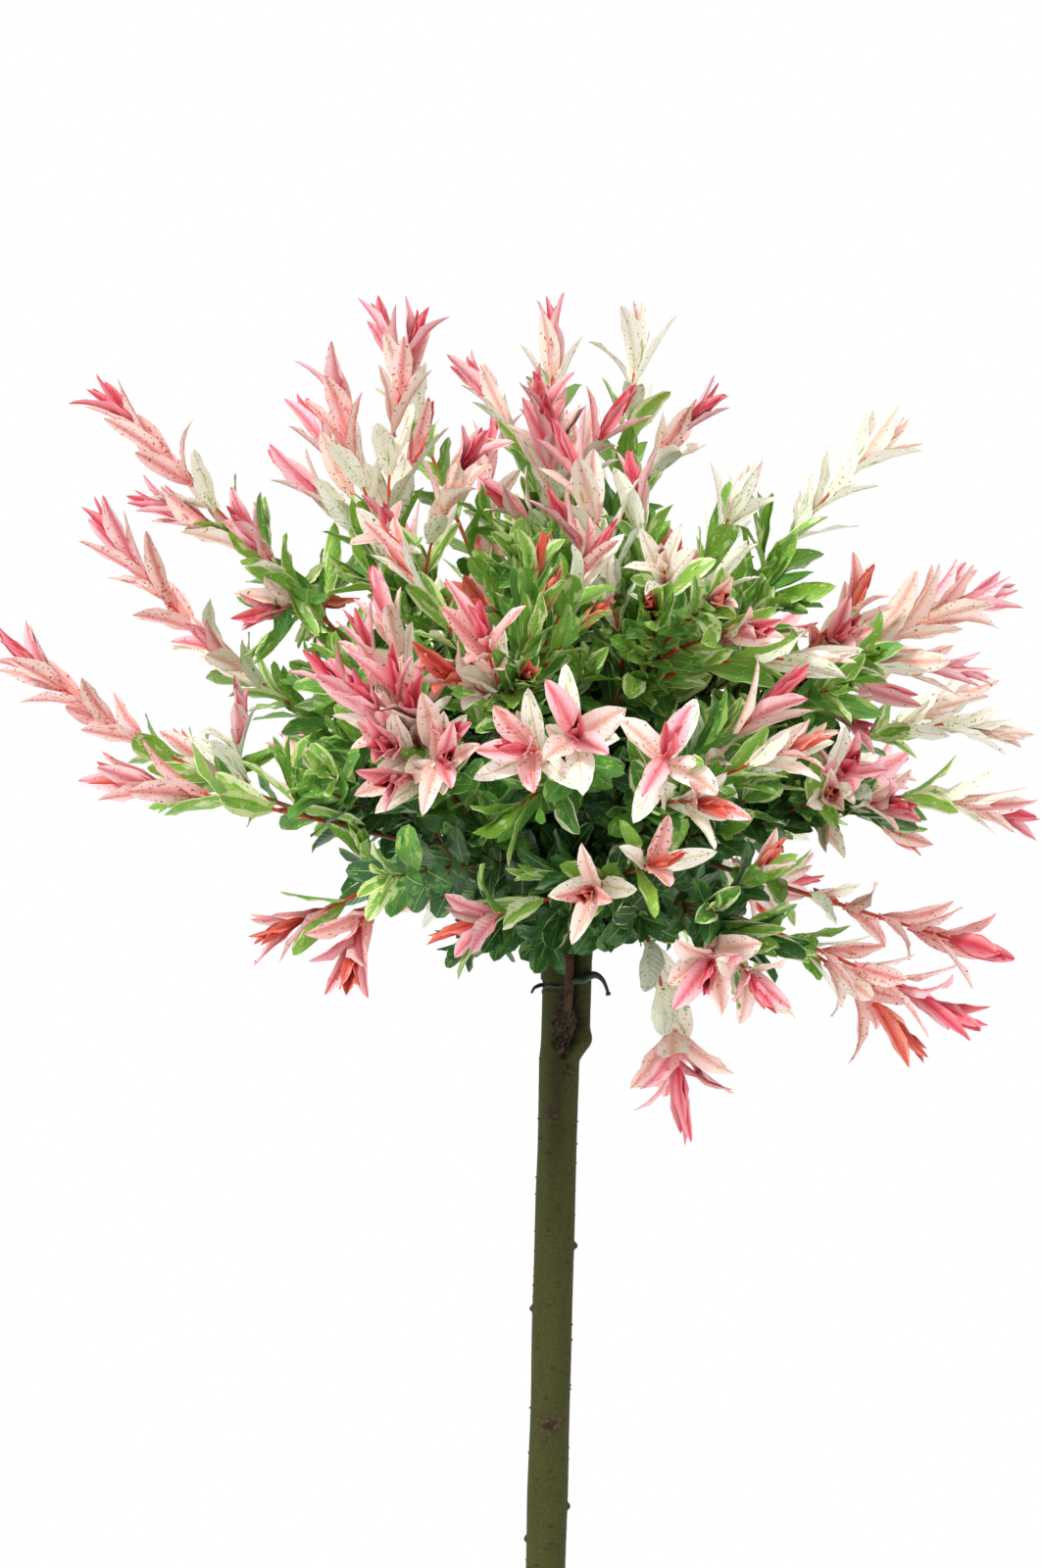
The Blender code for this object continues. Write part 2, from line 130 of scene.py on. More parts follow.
# name, azimuth and elevation in degrees from the head point, reach, how far the shoot arches up (+) or
# hangs (-) as a share of its reach, its range of leaf colours, how wide its end opens in degrees, and
# its vigour, which sets the size of its leaves and how far down its colours go
SPRAYS = (
    ("spray_left_long", 184, 21, 0.314, 0.10, "long", 12, 1.05),
    ("spray_left_mid", 173, 36, 0.312, 0.14, "flushed", 6, 1.2),
    ("spray_left_high", 187, 46, 0.345, -0.03, "flushed", 0, 1.2),
    ("spray_left_low", 192, 12, 0.244, -0.02, "low", 6, 1.1),
    ("spray_left_droop", 202, -9, 0.172, 0.08, "low", 8, 0.9),
    ("spray_high_left", 199, 63, 0.290, 0.04, "flushed", 0, 1.0),
    ("spray_top_left", 162, 71, 0.314, 0.02, "rose", 0, 1.0),
    ("spray_top", 250, 86, 0.290, 0.00, "rose", 2, 0.8),
    ("spray_top_right", 8, 82, 0.293, 0.00, "pale", 16, 1.2),
    ("spray_high_right", 10, 53.5, 0.298, -0.09, "pale", 10, 1.6),
    ("spray_right_upper", 352, 34, 0.268, -0.06, "soft", 8, 1.5),
    ("spray_right_mid", 8, 19, 0.254, -0.14, "faint", 2, 0.6),
    ("spray_right_low", 350, 9, 0.244, -0.10, "pink", 8, 0.9),
    ("spray_right_droop", 340, -9, 0.240, 0.02, "long", 12, 1.2),
    ("spray_right_hang", 327, -16, 0.248, 0.04, "long", 12, 1.1),
    ("spray_front_right", 283, 16, 0.238, 0.04, "pink", 44, 0.9),
    ("spray_front", 271, 19, 0.236, 0.04, "pink", 42, 1.0),
    ("spray_front_left", 243, 22, 0.242, 0.06, "rose", 6, 1.0),
    ("spray_front_high_left", 258, 31, 0.248, 0.06, "rose", 14, 1.0),
    ("spray_front_high_right", 300, 48, 0.262, 0.06, "pale", 10, 0.8),
    ("spray_front_low", 274, -2, 0.192, 0.00, "coral", 18, 0.9),
    ("spray_front_droop", 300, -15, 0.208, -0.04, "pink", 26, 0.9),
    ("spray_front_hang", 300, -40, 0.176, -0.06, "hanging", 27, 1.6),
    ("spray_back_left", 128, 14, 0.262, 0.08, "rose", 6, 1.0),
    ("spray_back_high_left", 116, 42, 0.290, 0.06, "rose", 4, 1.1),
    ("spray_back", 104, 20, 0.254, 0.06, "pink", 10, 1.0),
    ("spray_back_high_right", 60, 46, 0.290, 0.06, "pale", 6, 1.0),
    ("spray_back_right", 40, 12, 0.250, 0.04, "pink", 8, 1.0),
    ("spray_back_droop_left", 104, -6, 0.200, -0.02, "coral", 8, 0.8),
    ("spray_back_droop_right", 66, -10, 0.215, -0.04, "blush", 10, 0.9),
)

# Side shoots that the photo shows: azimuth, elevation and reach of the leaf tip from the head point,
# range of colours, opening and vigour
SIDE_SHOOTS = (
    (188, 42, 0.29, "rose", 0, 1.0), (202, 45, 0.26, "rose", 0, 0.8), (196, 38, 0.22, "pink", 2, 0.8),
    (188, 56, 0.26, "rose", 4, 0.8), (176, 61, 0.28, "rose", 0, 0.9), (176, 19, 0.217, "blush", 4, 0.8),
    (193, 28, 0.20, "soft", 2, 0.8), (222, -19, 0.165, "low", 10, 1.1), (246, -10, 0.158, "low", 26, 1.0),
    (183, 48, 0.222, "leafy", 19, 1.1), (186, 46, 0.25, "rose", 6, 0.9),
    (181, 52, 0.212, "leafy", 19, 1.1), (221, 57, 0.226, "pink", 6, 0.8),
    (187, 33, 0.235, "soft", 4, 0.9), (338, 25, 0.19, "pink", 6, 0.9), (355, 36, 0.175, "leafy", 8, 1.0),
    (0, 60, 0.222, "leafy", 18, 1.3), (341, 12, 0.165, "leafy", 10, 1.0),
    (197, 21, 0.172, "leafy", 12, 1.1), (212, 6, 0.135, "leafy", 12, 0.9),
    (196, 41, 0.197, "blush", 6, 0.9), (199, 47, 0.20, "leafy", 14, 1.1),
    (350, 56, 0.205, "leafy", 14, 1.2), (176, 55, 0.206, "leafy", 14, 1.0),
    (203, 53, 0.205, "leafy", 14, 1.0), (181, 25, 0.17, "leafy", 18, 1.1),
    (0, 29, 0.205, "pink", 12, 1.1), (338, 7, 0.155, "pale", 8, 0.8), (186, 15, 0.155, "leafy", 10, 0.9),
    (192, 10, 0.165, "leafy", 10, 0.9), (292, -4, 0.20, "leafy", 12, 0.8),
    (312, -13, 0.175, "leafy", 10, 0.8), (334, 29, 0.155, "leafy", 8, 0.9),
    (190, 45, 0.195, "leafy", 8, 0.9), (255, 60, 0.20, "leafy", 8, 0.8), (285, 58, 0.19, "leafy", 8, 0.8),
    (270, 54, 0.235, "pink", 6, 1.0), (233, 28, 0.23, "pink", 8, 1.0), (200, 50, 0.18, "leafy", 8, 0.9),
    (240, 74, 0.19, "leafy", 8, 0.8), (352, 31, 0.18, "leafy", 8, 1.1),
    (187, 36, 0.208, "leafy", 19, 1.2), (350, 49, 0.195, "leafy", 8, 1.1),
    (246, 13, 0.225, "pink", 10, 0.9), (262, 1, 0.15, "leafy", 14, 0.7),
    (184, 18, 0.16, "leafy", 19, 1.1), (215, 58, 0.17, "leafy", 8, 0.8),
    (250, 66, 0.17, "leafy", 10, 0.8), (285, 62, 0.17, "leafy", 10, 0.8),
    (225, 64, 0.17, "leafy", 10, 0.8), (258, 9, 0.17, "leafy", 12, 0.8),
    (325, 62, 0.185, "pale", 10, 0.9), (296, 24, 0.20, "leafy", 8, 0.7),
    (350, 33, 0.185, "leafy", 8, 1.0), (306, -12, 0.165, "leafy", 8, 0.8),
    (235, 47, 0.23, "coral", 2, 0.6), (237, 40, 0.23, "pink", 2, 0.9), (240, 31, 0.24, "rose", 4, 0.9),
    (248, 24, 0.23, "pink", 8, 0.9), (254, 19, 0.23, "pink", 8, 0.9), (251, 27, 0.23, "coral", 6, 0.8),
    (263, 16, 0.23, "rose", 30, 0.9), (246, 17, 0.24, "rose", 8, 0.9), (246, 26, 0.24, "rose", 12, 0.9),
    (255, 15, 0.24, "rose", 14, 0.7), (211, 72, 0.30, "rose", 0, 1.1), (180, 80, 0.27, "rose", 0, 0.7),
    (201, 71, 0.25, "coral", 2, 0.8), (244, 63, 0.25, "rose", 4, 0.9), (258, 76, 0.262, "rose", 4, 0.9),
    (272, 64, 0.25, "pink", 12, 1.2), (262, 74, 0.25, "pink", 4, 1.0), (230, 75, 0.21, "rose", 4, 0.8),
    (255, 84, 0.25, "pink", 14, 1.2), (310, 60, 0.19, "blush", 10, 0.9), (348, 4, 0.15, "soft", 6, 0.8),
    (304, 79, 0.25, "pink", 16, 0.9), (293, 65, 0.23, "rose", 8, 0.5), (310, 50, 0.215, "pale", 10, 0.8),
    (345, 73, 0.26, "rose", 4, 0.8), (284, 38, 0.26, "pale", 14, 0.8), (267, 36, 0.24, "bud", 0, 0.5),
    (273, 33, 0.24, "bud", 0, 0.5), (283, 35, 0.24, "bud", 2, 0.5), (292, 34, 0.25, "blush", 4, 0.5),
    (296, 30, 0.25, "rose", 4, 0.6), (274, 41, 0.25, "rose", 10, 0.5), (265, 42, 0.24, "bud", 10, 0.5),
    (344, 42, 0.225, "coral", 4, 0.9), (0, 36, 0.26, "soft", 5, 1.3), (354, 27, 0.24, "soft", 5, 1.2),
    (301, 25, 0.23, "pink", 10, 1.0), (15, 23, 0.25, "soft", 4, 0.9), (323, 18, 0.20, "pink", 12, 0.9),
    (339, 11, 0.195, "rose", 6, 0.8), (0, 5, 0.19, "coral", 2, 0.5), (334, -23, 0.22, "coral", 18, 1.3),
    (337, -7, 0.156, "pink", 10, 0.9), (300, 17, 0.24, "coral", 8, 0.6),
    (288, 10, 0.23, "coral", 12, 0.7), (283, 3, 0.205, "coral", 26, 0.7),
    (292, -15, 0.20, "pink", 24, 1.1), (264, 26, 0.23, "bud", 0, 0.4), (301, 2, 0.20, "blush", 4, 0.5),
    (326, 29, 0.205, "leafy", 19, 1.0), (336, 33, 0.215, "leafy", 12, 1.0),
    (297, 33, 0.225, "red_stem", 6, 0.8), (327, 36, 0.22, "rose", 8, 0.8),
    (332, 38, 0.20, "blush", 6, 0.8), (314, 31, 0.22, "pale", 8, 0.8), (320, 14, 0.19, "blush", 6, 0.7),
    (308, 20, 0.21, "pale", 6, 0.7),
)

# Side shoots of the back: how many each spray may have, how far they turn from it, the share of its
# reach that they have, how far apart their tips stay, how wide and high their part of the head is, and
# the least y and z of their headings
BACK_SIDES = 7
SIDE_TURN = math.radians(16)
SIDE_REACH = (0.76, 1.0)
TIP_GAP = math.radians(8)
BACK_REACH = 0.165
BACK_HEIGHT = 0.265
BACK_START = 0.24
BACK_LOWEST = -0.14
BACK_TRIES = 10
BACK_VIGOUR = (0.7, 1.0)
BACK_OPENS = (0, 6)
TURN_VARIES = (0.75, 1.5)
SPEAR_LENGTH = 0.030

# A side shoot leaves its spray at this share of it, less 1 for each so many degrees that its tip is
# off, and within a range. It bends by a share of its length.
FOOT_SHARE = 0.60
FOOT_DEGREES = 50
FOOT_RANGE = (0.10, 0.50)
SIDE_BEND = 0.46

# The shaded hollow at the front of the head
HOLLOW = (269, 29)
HOLLOW_SPREAD = math.radians(15)

# Where the head is open low down: from x, to x, and below which height. Few twigs end there.
OPEN_PLACES = ((-1.0, -0.075, 0.900), (-0.075, 0.010, 0.915), (0.125, 1.0, 0.895))
OPEN_SHARE = 0.80

# Twigs of the green shoots, of the boughs, of a collar round the leader's foot and of a crown up the
# leader. Angles are in degrees and turns in radians. A twig that would end past the greens is shorter.
BODY_TWIGS = 14
BODY_TWIG_LENGTH = (0.040, 0.068)
BODY_TWIG_ANGLE = (35, 70)
BODY_TWIG_TURN = 0.7
BODY_TWIG_RISE = 0.16
BODY_TWIG_SHORTER = 0.6
BODY_TWIG_VIGOUR = (0.7, 1.25)
TINGED_SHARE = 0.12
BOUGH_TWIGS = 5
BOUGH_TWIG_LENGTH = (0.040, 0.062)
BOUGH_TWIG_ANGLE = (50, 85)
BOUGH_TWIG_TURN = 2.0
BOUGH_TWIG_LOWEST = -0.25
BOUGH_TWIG_FIRST = 0.45
BOUGH_TWIG_STEP = 0.12
COLLAR_TWIGS = 16
COLLAR_LENGTH = (0.044, 0.076)
COLLAR_HEIGHT = 0.862
COLLAR_LEFT = -0.042
COLLAR_DROOP = 7
COLLAR_VARIES = 9
COLLAR_LOWEST_SIDE = 205
COLLAR_ARCH = 0.012
CROWN_TWIGS = 18
CROWN_LENGTH = (0.050, 0.080)
CROWN_ELEVATION = (4, 34)
CROWN_HEIGHT = 0.872
CROWN_RISE = 0.034

# Underside of the head, which rises outwards from a round middle: how far twigs end above it, and the
# most that one is lifted for that. Then the radius and half height of the head's green part.
LOWEST_LEAF = 0.863
UNDERSIDE_RISE = 0.60
UNDERSIDE_MIDDLE = 0.025
UNDERSIDE_RADIUS = 0.055
UNDERSIDE_CLEAR = 0.012
MOST_LIFT = 0.014
GREEN_RADIUS = 0.138
GREEN_HEIGHT = 0.184

SHOOT_RADIUS = 0.0015
RED_STEM_RADIUS = 0.0020
SHOOT_TIP_RADIUS = 0.0006
TWIG_RADIUS = 0.0009

# Share of a shoot without leaves, from its foot up
BARE_SHARES = {"low": 0.50, "red_stem": 0.95, "hanging": 0.30}
SPRAY_BARE = 0.12
SIDE_BARE = 0.10
BODY_BARE = 0.10
TWIG_BARE = 0.16
BOUGH_TWIG_BARE = 0.20
INNER_BARE = 0.22

# Ranges of leaf colours from the tip down: the leaf pair that each kind ends at. Green ones follow.
TONES = {
    "rose": {"rose": 0.8, "pink": 1.8, "pink_specked": 2.5, "blush": 3.3, "cream": 4.7, "lime": 6.2},
    "coral": {"coral": 1.0, "pink_specked": 1.9, "blush": 2.7, "cream": 4.0, "lime": 5.2},
    "pink": {"rose": 0.5, "pink": 2.0, "blush": 2.8, "cream": 4.1, "lime": 5.2},
    "blush": {"coral": 0.6, "pink_specked": 1.5, "blush": 2.4, "cream": 3.8, "lime": 5.2},
    "pale": {"peach": 1.0, "cream": 3.4, "lime": 4.6},
    "soft": {"pink": 1.1, "blush": 2.6, "cream": 4.2, "lime": 5.2},
    "long": {"rose": 0.8, "pink": 1.8, "pink_specked": 4.8, "cream": 5.2, "lime": 7.0},
    "flushed": {"rose": 0.8, "pink": 1.7, "pink_specked": 3.9, "cream": 4.8, "lime": 6.6},
    "faint": {"peach": 2.4, "cream": 9.0, "lime": 10.5},
    "red_stem": {"pink": 1.0, "lime": 3.0},
    "hanging": {"rose": 0.6, "pink": 1.7, "blush": 2.5, "cream": 3.6, "lime": 4.4},
    "bud": {"coral": 1.0, "pink_specked": 1.6, "lime": 3.5},
    "leafy": {"lime": 1.2},
    "low": {"coral": 0.8, "pink": 1.8, "pink_specked": 3.0, "lime": 4.6},
    "tinged": {"coral": 0.5, "pink_specked": 1.1, "cream": 1.8, "lime": 3.2},
    "shade": {},
}

# Leaf pairs from the tip down: opening from the shoot, length and width in mm, fold and curl in degrees
PAIRS = (
    (8, 31, 9.6, 42, -6),
    (8, 38, 11.6, 32, 10),
    (11, 41, 12.6, 27, 14),
    (15, 40, 12.8, 23, 18),
    (21, 37, 12.6, 20, 18),
    (28, 33, 12.4, 17, 14),
    (34, 31, 12.6, 15, 18),
    (40, 29, 13.0, 13, 20),
)
PAIR_GAPS = (0.006, 0.012, 0.015, 0.017, 0.019, 0.019, 0.019)

# Shoots that open wider than this many degrees end in a star: closer pairs, and the first leaves below
# the spear have these shares of the length, width and fold
STAR_OPENING = 20
STAR_GAP_SHARE = 0.35
STAR_PAIRS = 2.8
STAR_SHARES = (0.78, 1.14, 0.55)

# Leaf pairs of the green twigs, and their distances
BODY_PAIRS = (
    (22, 22, 8.8, 26, 8),
    (36, 26, 12.0, 18, 12),
    (44, 29, 14.0, 14, 16),
    (50, 30, 14.8, 12, 18),
)
BODY_GAPS = (0.005, 0.008, 0.0095)

# How much shoots and leaf pairs differ: size and distance as shares, colour in pairs, turn in radians
SIZE_SHARE = (0.94, 1.06)
GAP_SHARE = (0.88, 1.12)
COLOUR_VARIES = (-0.4, 0.4)
PAIR_TURN = (-0.3, 0.3)

# How much single leaves differ: turn, twist and sway in radians, curl in degrees, the rest as shares
LEAF_TURN = (-0.25, 0.25)
LEAF_TWIST = 0.22
LEAF_SWAY = 0.16
OPENING_SHARE = (0.7, 1.3)
LENGTH_SHARE = (0.88, 1.10)
WIDTH_SHARE = (0.86, 1.14)
FOLD_SHARE = (0.7, 1.2)
CURL_SHARE = (0.3, 1.5)
CURLED_LEAVES = 0.10
CURLED_BY = 35
THIRD_LEAVES = 0.25

# Leaves given a darker green as painted shade: how deep in the head, how deep where shaded, and the height
# of the shade, sloping along x
DARK_DEPTH = 0.095
SHADED_DEPTH = 0.17
DEPTH_VARIES = 0.025
SHADE_HEIGHT = 0.900
SHADE_MIDDLE = 0.030
SHADE_SLOPE = 0.30
SHADE_RANGE = (0.885, 0.940)
BRIGHT_HEIGHT = 0.95
BRIGHT_SHARE = 0.50

# Leaf stations from root to tip
STATIONS = np.array([0.0, 0.07, 0.18, 0.32, 0.48, 0.64, 0.80, 0.93, 1.0])
RIB_HALF_WIDTH = 0.00032
RIB_RISE = 0.00016
RIB_TIP_SHARE = 0.15
STALK_WIDTH = 0.10
CLASPING_WIDTH = 0.42

# A leaf's curl grows along it with this power. Its edges ripple: waves along the leaf, how far each edge
# is out of step in waves, and the height as a share of the half width.
CURL_POWER = 1.4
RIPPLES = 2.2
RIPPLE_SHIFT = 0.2
RIPPLE_HEIGHT = 0.16


def srgb(code):
    """The linear colour that shaders use, for a display colour written as 0xRRGGBB."""
    parts = (code >> 16, code >> 8 & 255, code & 255)
    return (*[(c / 255 / 12.92) if c < 11 else ((c / 255 + 0.055) / 1.055) ** 2.4 for c in parts], 1)


# Where each kind of leaf is widest, as a share of its length, and how full its outline is
LEAF_SHAPES = {
    "rose": (0.45, 0.7), "coral": (0.45, 0.7), "pink": (0.46, 0.68), "pink_specked": (0.47, 0.68),
    "blush": (0.48, 0.68), "cream": (0.49, 0.66), "peach": (0.45, 0.7), "lime": (0.52, 0.58),
    "green": (0.55, 0.52), "dark_green": (0.56, 0.48),
}

# Two edge colours that leaves vary between, the middle's colour, width and strength, the specks' colour
# and share, and the streaks' colour and share
LEAF_COLOURS = {
    "rose": (0xF08694, 0xF6A6AC, 0xD4364E, 1.0, 0.95, 0x963232, 0.0, 0xE6584A, 0.3),
    "coral": (0xE87662, 0xF09884, 0xD44038, 0.85, 0.9, 0x8C3C28, 0.3, 0xC45C36, 0.35),
    "pink": (0xFABEC6, 0xFED6D6, 0xE25C72, 0.7, 0.78, 0x963C3C, 0.25, 0xEA7A86, 0.25),
    "pink_specked": (0xFACECA, 0xFCDED4, 0xE46062, 0.6, 0.72, 0x9C4C36, 0.8, 0xDE705A, 0.3),
    "blush": (0xFCE4D8, 0xFCEEE2, 0xE6826E, 0.5, 0.55, 0x966238, 0.5, 0xD6A260, 0.22),
    "cream": (0xFEFAF0, 0xFCFAE8, 0xD6D696, 0.3, 0.35, 0x848846, 0.45, 0x96B854, 0.28),
    "peach": (0xFBE6D8, 0xFDEEE4, 0xF2A47C, 0.6, 0.6, 0x96603C, 0.2, 0xF0A874, 0.35),
    "lime": (0x8EBE40, 0x74A83E, 0xB2D26C, 0.1, 0.6, 0xCEDC8C, 0.45, 0x4A8834, 0.4),
    "green": (0x56943A, 0x6AA23E, 0x92BC62, 0.08, 0.6, 0xB2CC76, 0.35, 0x366E2E, 0.42),
    # The shaded green is green darkened as painted shade, for leaves deep in and low on the head
    "dark_green": (0x2A5628, 0x3C6C30, 0x648E4C, 0.08, 0.6, 0x80A45A, 0.2, 0x244C24, 0.42),
    "leaf_margin": (0xE8ECC0, 0xCCDE8C, 0xC4D880, 0.6, 0.4, 0x608C38, 0.5, 0xA4C454, 0.45),
}

# Colour of the pale patches of the green kinds
PATCHES = {"lime": 0xE2E8B0, "green": 0xB2CE6E, "dark_green": 0x689448}
PINK_KINDS = ("rose", "coral", "pink", "pink_specked", "blush", "cream", "peach")

# Three colours of each bark, stem and rib, the mottle's fineness, the roughness and the relief's strength
BARKS = {
    "green_rib": (0xA8C470, 0x96B860, 0xBECE8C, 200, 0.5, 0.1),
    "pink_rib": (0xE26E68, 0xD87E5C, 0xE89678, 200, 0.5, 0.1),
    "pale_rib": (0xF0C4AC, 0xE8CEA0, 0xECB096, 200, 0.5, 0.1),
    "young_stem": (0xCE3A2E, 0xBE5430, 0xA8703C, 60, 0.42, 0.2),
    "old_stem": (0x704828, 0x605C30, 0x843E28, 60, 0.5, 0.3),
    "bough_bark": (0x5C402A, 0x4E4A2C, 0x3C2A1E, 110, 0.65, 0.5),
    "lenticel": (0x342C1E, 0x423624, 0x282018, 300, 0.8, 0.3),
    "scion_brown": (0x4A3022, 0x302218, 0x60422E, 220, 0.8, 0.7),
    "scion_green": (0x4C5030, 0x3C4028, 0x5C5C3C, 120, 0.6, 0.4),
    "tie_green": (0x223428, 0x1A2A22, 0x2E4032, 160, 0.3, 0.1),
}


def direction(azimuth, elevation):
    """Unit vector from two angles in degrees."""
    a, e = math.radians(azimuth), math.radians(elevation)
    return Vector((math.cos(a) * math.cos(e), math.sin(a) * math.cos(e), math.sin(e)))


def own_random(*key):
    """Random numbers of their own for one part of the plant, the same in each run."""
    return random.Random(f"{SEED} {key}")


def smooth(x):
    x = min(max(x, 0), 1)
    return x * x * (3 - 2 * x)


def bump(x):
    """1 at 0, falling smoothly to 0 at -1 and 1."""
    return (1 + math.cos(math.pi * min(abs(x), 1))) / 2


def trunk_axis(z):
    """Middle of the trunk at height z: it leans towards +X, with a slow bend."""
    bend = TRUNK_BEND * math.sin(math.pi * z / GRAFT_HEIGHT)
    return Vector((TRUNK_LEAN * z + bend, TRUNK_BEND_BACK * bend, z))


def trunk_radius(z, angle):
    taper = min(z / TRUNK_TAPER_HEIGHT, 1)
    radius = TRUNK_BASE_RADIUS + (TRUNK_RADIUS - TRUNK_BASE_RADIUS) * taper
    lobes = 1 + FLARE_LOBE_SHARE * math.cos(FLARE_LOBES * angle + 0.6)
    radius += FLARE * math.exp(-z / FLARE_HEIGHT) * lobes
    swollen = smooth((z - GRAFT_HEIGHT + GRAFT_SWELL_RISE) / GRAFT_SWELL_RISE)
    radius += GRAFT_SWELL * swollen * (0.35 + 0.65 * math.cos(angle))
    shoulder = smooth((z - SHOULDER_HEIGHT + SHOULDER_DROP) / SHOULDER_LENGTH)
    leader = LEADER_RADIUS - LEADER_TAPER * (z - SHOULDER_HEIGHT) / (LEADER_TOP - SHOULDER_HEIGHT)
    return radius + (leader - radius) * shoulder


def any_normal(along):
    """A unit vector square to along, upwards where it can be."""
    up = Vector((0, 0, 1)) if abs(along.z) < 0.9 else Vector((1, 0, 0))
    return (up - along * up.dot(along)).normalized()


def leaning(along, turn, angle):
    """The heading that leans out of along by an angle, to the side that turn gives."""
    out = Matrix.Rotation(turn, 3, along) @ any_normal(along)
    return along * math.cos(angle) + out * math.sin(angle)


class Curve:
    """A curve from start to end, drawn towards middle."""

    def __init__(self, start, middle, end):
        self.start, self.middle, self.end = start.copy(), middle.copy(), end.copy()
        points = [self.at(i / 12) for i in range(13)]
        self.length = sum((b - a).length for a, b in zip(points, points[1:]))

    def at(self, t):
        return self.start * (1 - t) ** 2 + self.middle * (2 * t * (1 - t)) + self.end * t * t

    def along(self, t):
        return ((self.middle - self.start) * (1 - t) + (self.end - self.middle) * t).normalized()


class Shoot:
    """A stem with leaves. A body shoot is one of the green ones inside the head."""

    def __init__(self, curve, radius, tone, leafy_from, openness=0, vigour=1.0, body=False, name=None):
        self.curve = curve
        self.radius = radius
        self.name = name
        self.tone = tone
        self.leafy_from = leafy_from
        self.openness = openness
        self.vigour = vigour
        self.body = body


def size_by(vigour):
    return 0.75 + 0.25 * vigour


def spear(vigour):
    """Length of the closed leaves that end a shoot."""
    return SPEAR_LENGTH * size_by(vigour)


def nearest_bough(heading):
    return max(BOUGHS, key=lambda row: direction(row[1], row[2]).dot(heading))[0]


def widest_gap_middle(turns):
    """The angle in the middle of the widest gap between angles round a circle."""
    turns = sorted(turn % (2 * math.pi) for turn in turns)
    gaps = [(b - a, a) for a, b in zip(turns, turns[1:] + [turns[0] + 2 * math.pi])]
    gap, start = max(gaps)
    return start + gap / 2


def fork_sides(fork, along, targets):
    """A unit vector for each stem at a fork: evenly turned, each towards its own target."""
    across = any_normal(along)
    other = along.cross(across)
    turns = {}
    for name, target in targets.items():
        offset = target - fork
        turns[name] = math.atan2(offset.dot(other), offset.dot(across))
    for name in targets:
        if name.startswith("green"):
            turns[name] = widest_gap_middle([t for other_name, t in turns.items() if other_name != name])
    names = sorted(turns, key=lambda name: turns[name] % (2 * math.pi))
    step = 2 * math.pi / len(names)
    errors = [turns[name] - i * step for i, name in enumerate(names)]
    first = math.atan2(sum(map(math.sin, errors)), sum(map(math.cos, errors)))
    sides = {}
    for i, name in enumerate(names):
        angle = first + i * step
        sides[name] = across * math.cos(angle) + other * math.sin(angle)
    return sides


def bough_curves():
    """The curve of each bough, from inside the leader to its fork."""
    head = trunk_axis(HEAD_HEIGHT)
    curves = {}
    for name, azimuth, elevation, foot_height, _ in BOUGHS:
        foot = trunk_axis(foot_height)
        fork = head + direction(azimuth, elevation) * BOUGH_REACH
        rise = Vector((0, 0, HIGH_BOUGH_RISE if elevation > 30 else LOW_BOUGH_RISE))
        if elevation > 80:
            rise = Vector()
        curves[name] = Curve(foot, foot.lerp(fork, 0.5) + rise, fork)
    return curves


def leading_shoots(boughs):
    """One stem for each spray and each green mass, from its bough's fork to its target."""
    head = trunk_axis(HEAD_HEIGHT)
    rows = {row[0]: row for row in SPRAYS}
    targets = {}
    for name, azimuth, elevation, _, reach in BOUGHS:
        targets[name] = {name.replace("bough", "green"): head + direction(azimuth, elevation) * reach}
    for name, azimuth, elevation, reach, *_ in SPRAYS:
        heading = direction(azimuth, elevation)
        targets[nearest_bough(heading)][name] = head + heading * (reach - spear(rows[name][7]))
    shoots = []
    for bough, goals in targets.items():
        fork = boughs[bough].end
        along = (fork - boughs[bough].at(1 - 1 / (BOUGH_RINGS - 1))).normalized()
        for name, side in fork_sides(fork, along, goals).items():
            end = goals[name]
            green = name.startswith("green")
            if green:
                end = end + side * GREEN_SPLAY
            start = fork - along * FORK_DEPTH + side * FORK_OFFSET * 0.7
            reach = (end - start).length
            middle = start.lerp(end, 0.5) + (along * STEM_BEND_ALONG + side * STEM_BEND_OUT) * reach
            if green:
                curve = Curve(start, middle, end)
                shoots.append(Shoot(curve, SHOOT_RADIUS, "leafy", BODY_BARE, body=True))
                continue
            _, _, _, spray_reach, arch, tone, openness, vigour = rows[name]
            middle.z -= arch * spray_reach
            bare = BARE_SHARES.get(tone, SPRAY_BARE)
            curve = Curve(start, middle, end)
            shoots.append(Shoot(curve, SHOOT_RADIUS, tone, bare, openness, vigour, name=name))
    return shoots


def branch(sprays, tip, tone, openness, vigour):
    """A side shoot that ends at a leaf tip, from the nearest spray: the further off, the lower its foot."""
    head = trunk_axis(HEAD_HEIGHT)
    leader = min(sprays, key=lambda spray: (spray.curve.end - head).angle(tip - head))
    away = math.degrees((leader.curve.end - head).angle(tip - head))
    start_at = min(max(FOOT_SHARE - away / FOOT_DEGREES, FOOT_RANGE[0]), FOOT_RANGE[1])
    start, along = leader.curve.at(start_at), leader.curve.along(start_at)
    end = tip - (tip - start).normalized() * spear(vigour)
    middle = start + along * SIDE_BEND * (end - start).length
    bare = BARE_SHARES.get(tone, SIDE_BARE)
    radius = RED_STEM_RADIUS if tone == "red_stem" else leader.radius * 0.8
    return Shoot(Curve(start, middle, end), radius, tone, bare, openness, vigour)


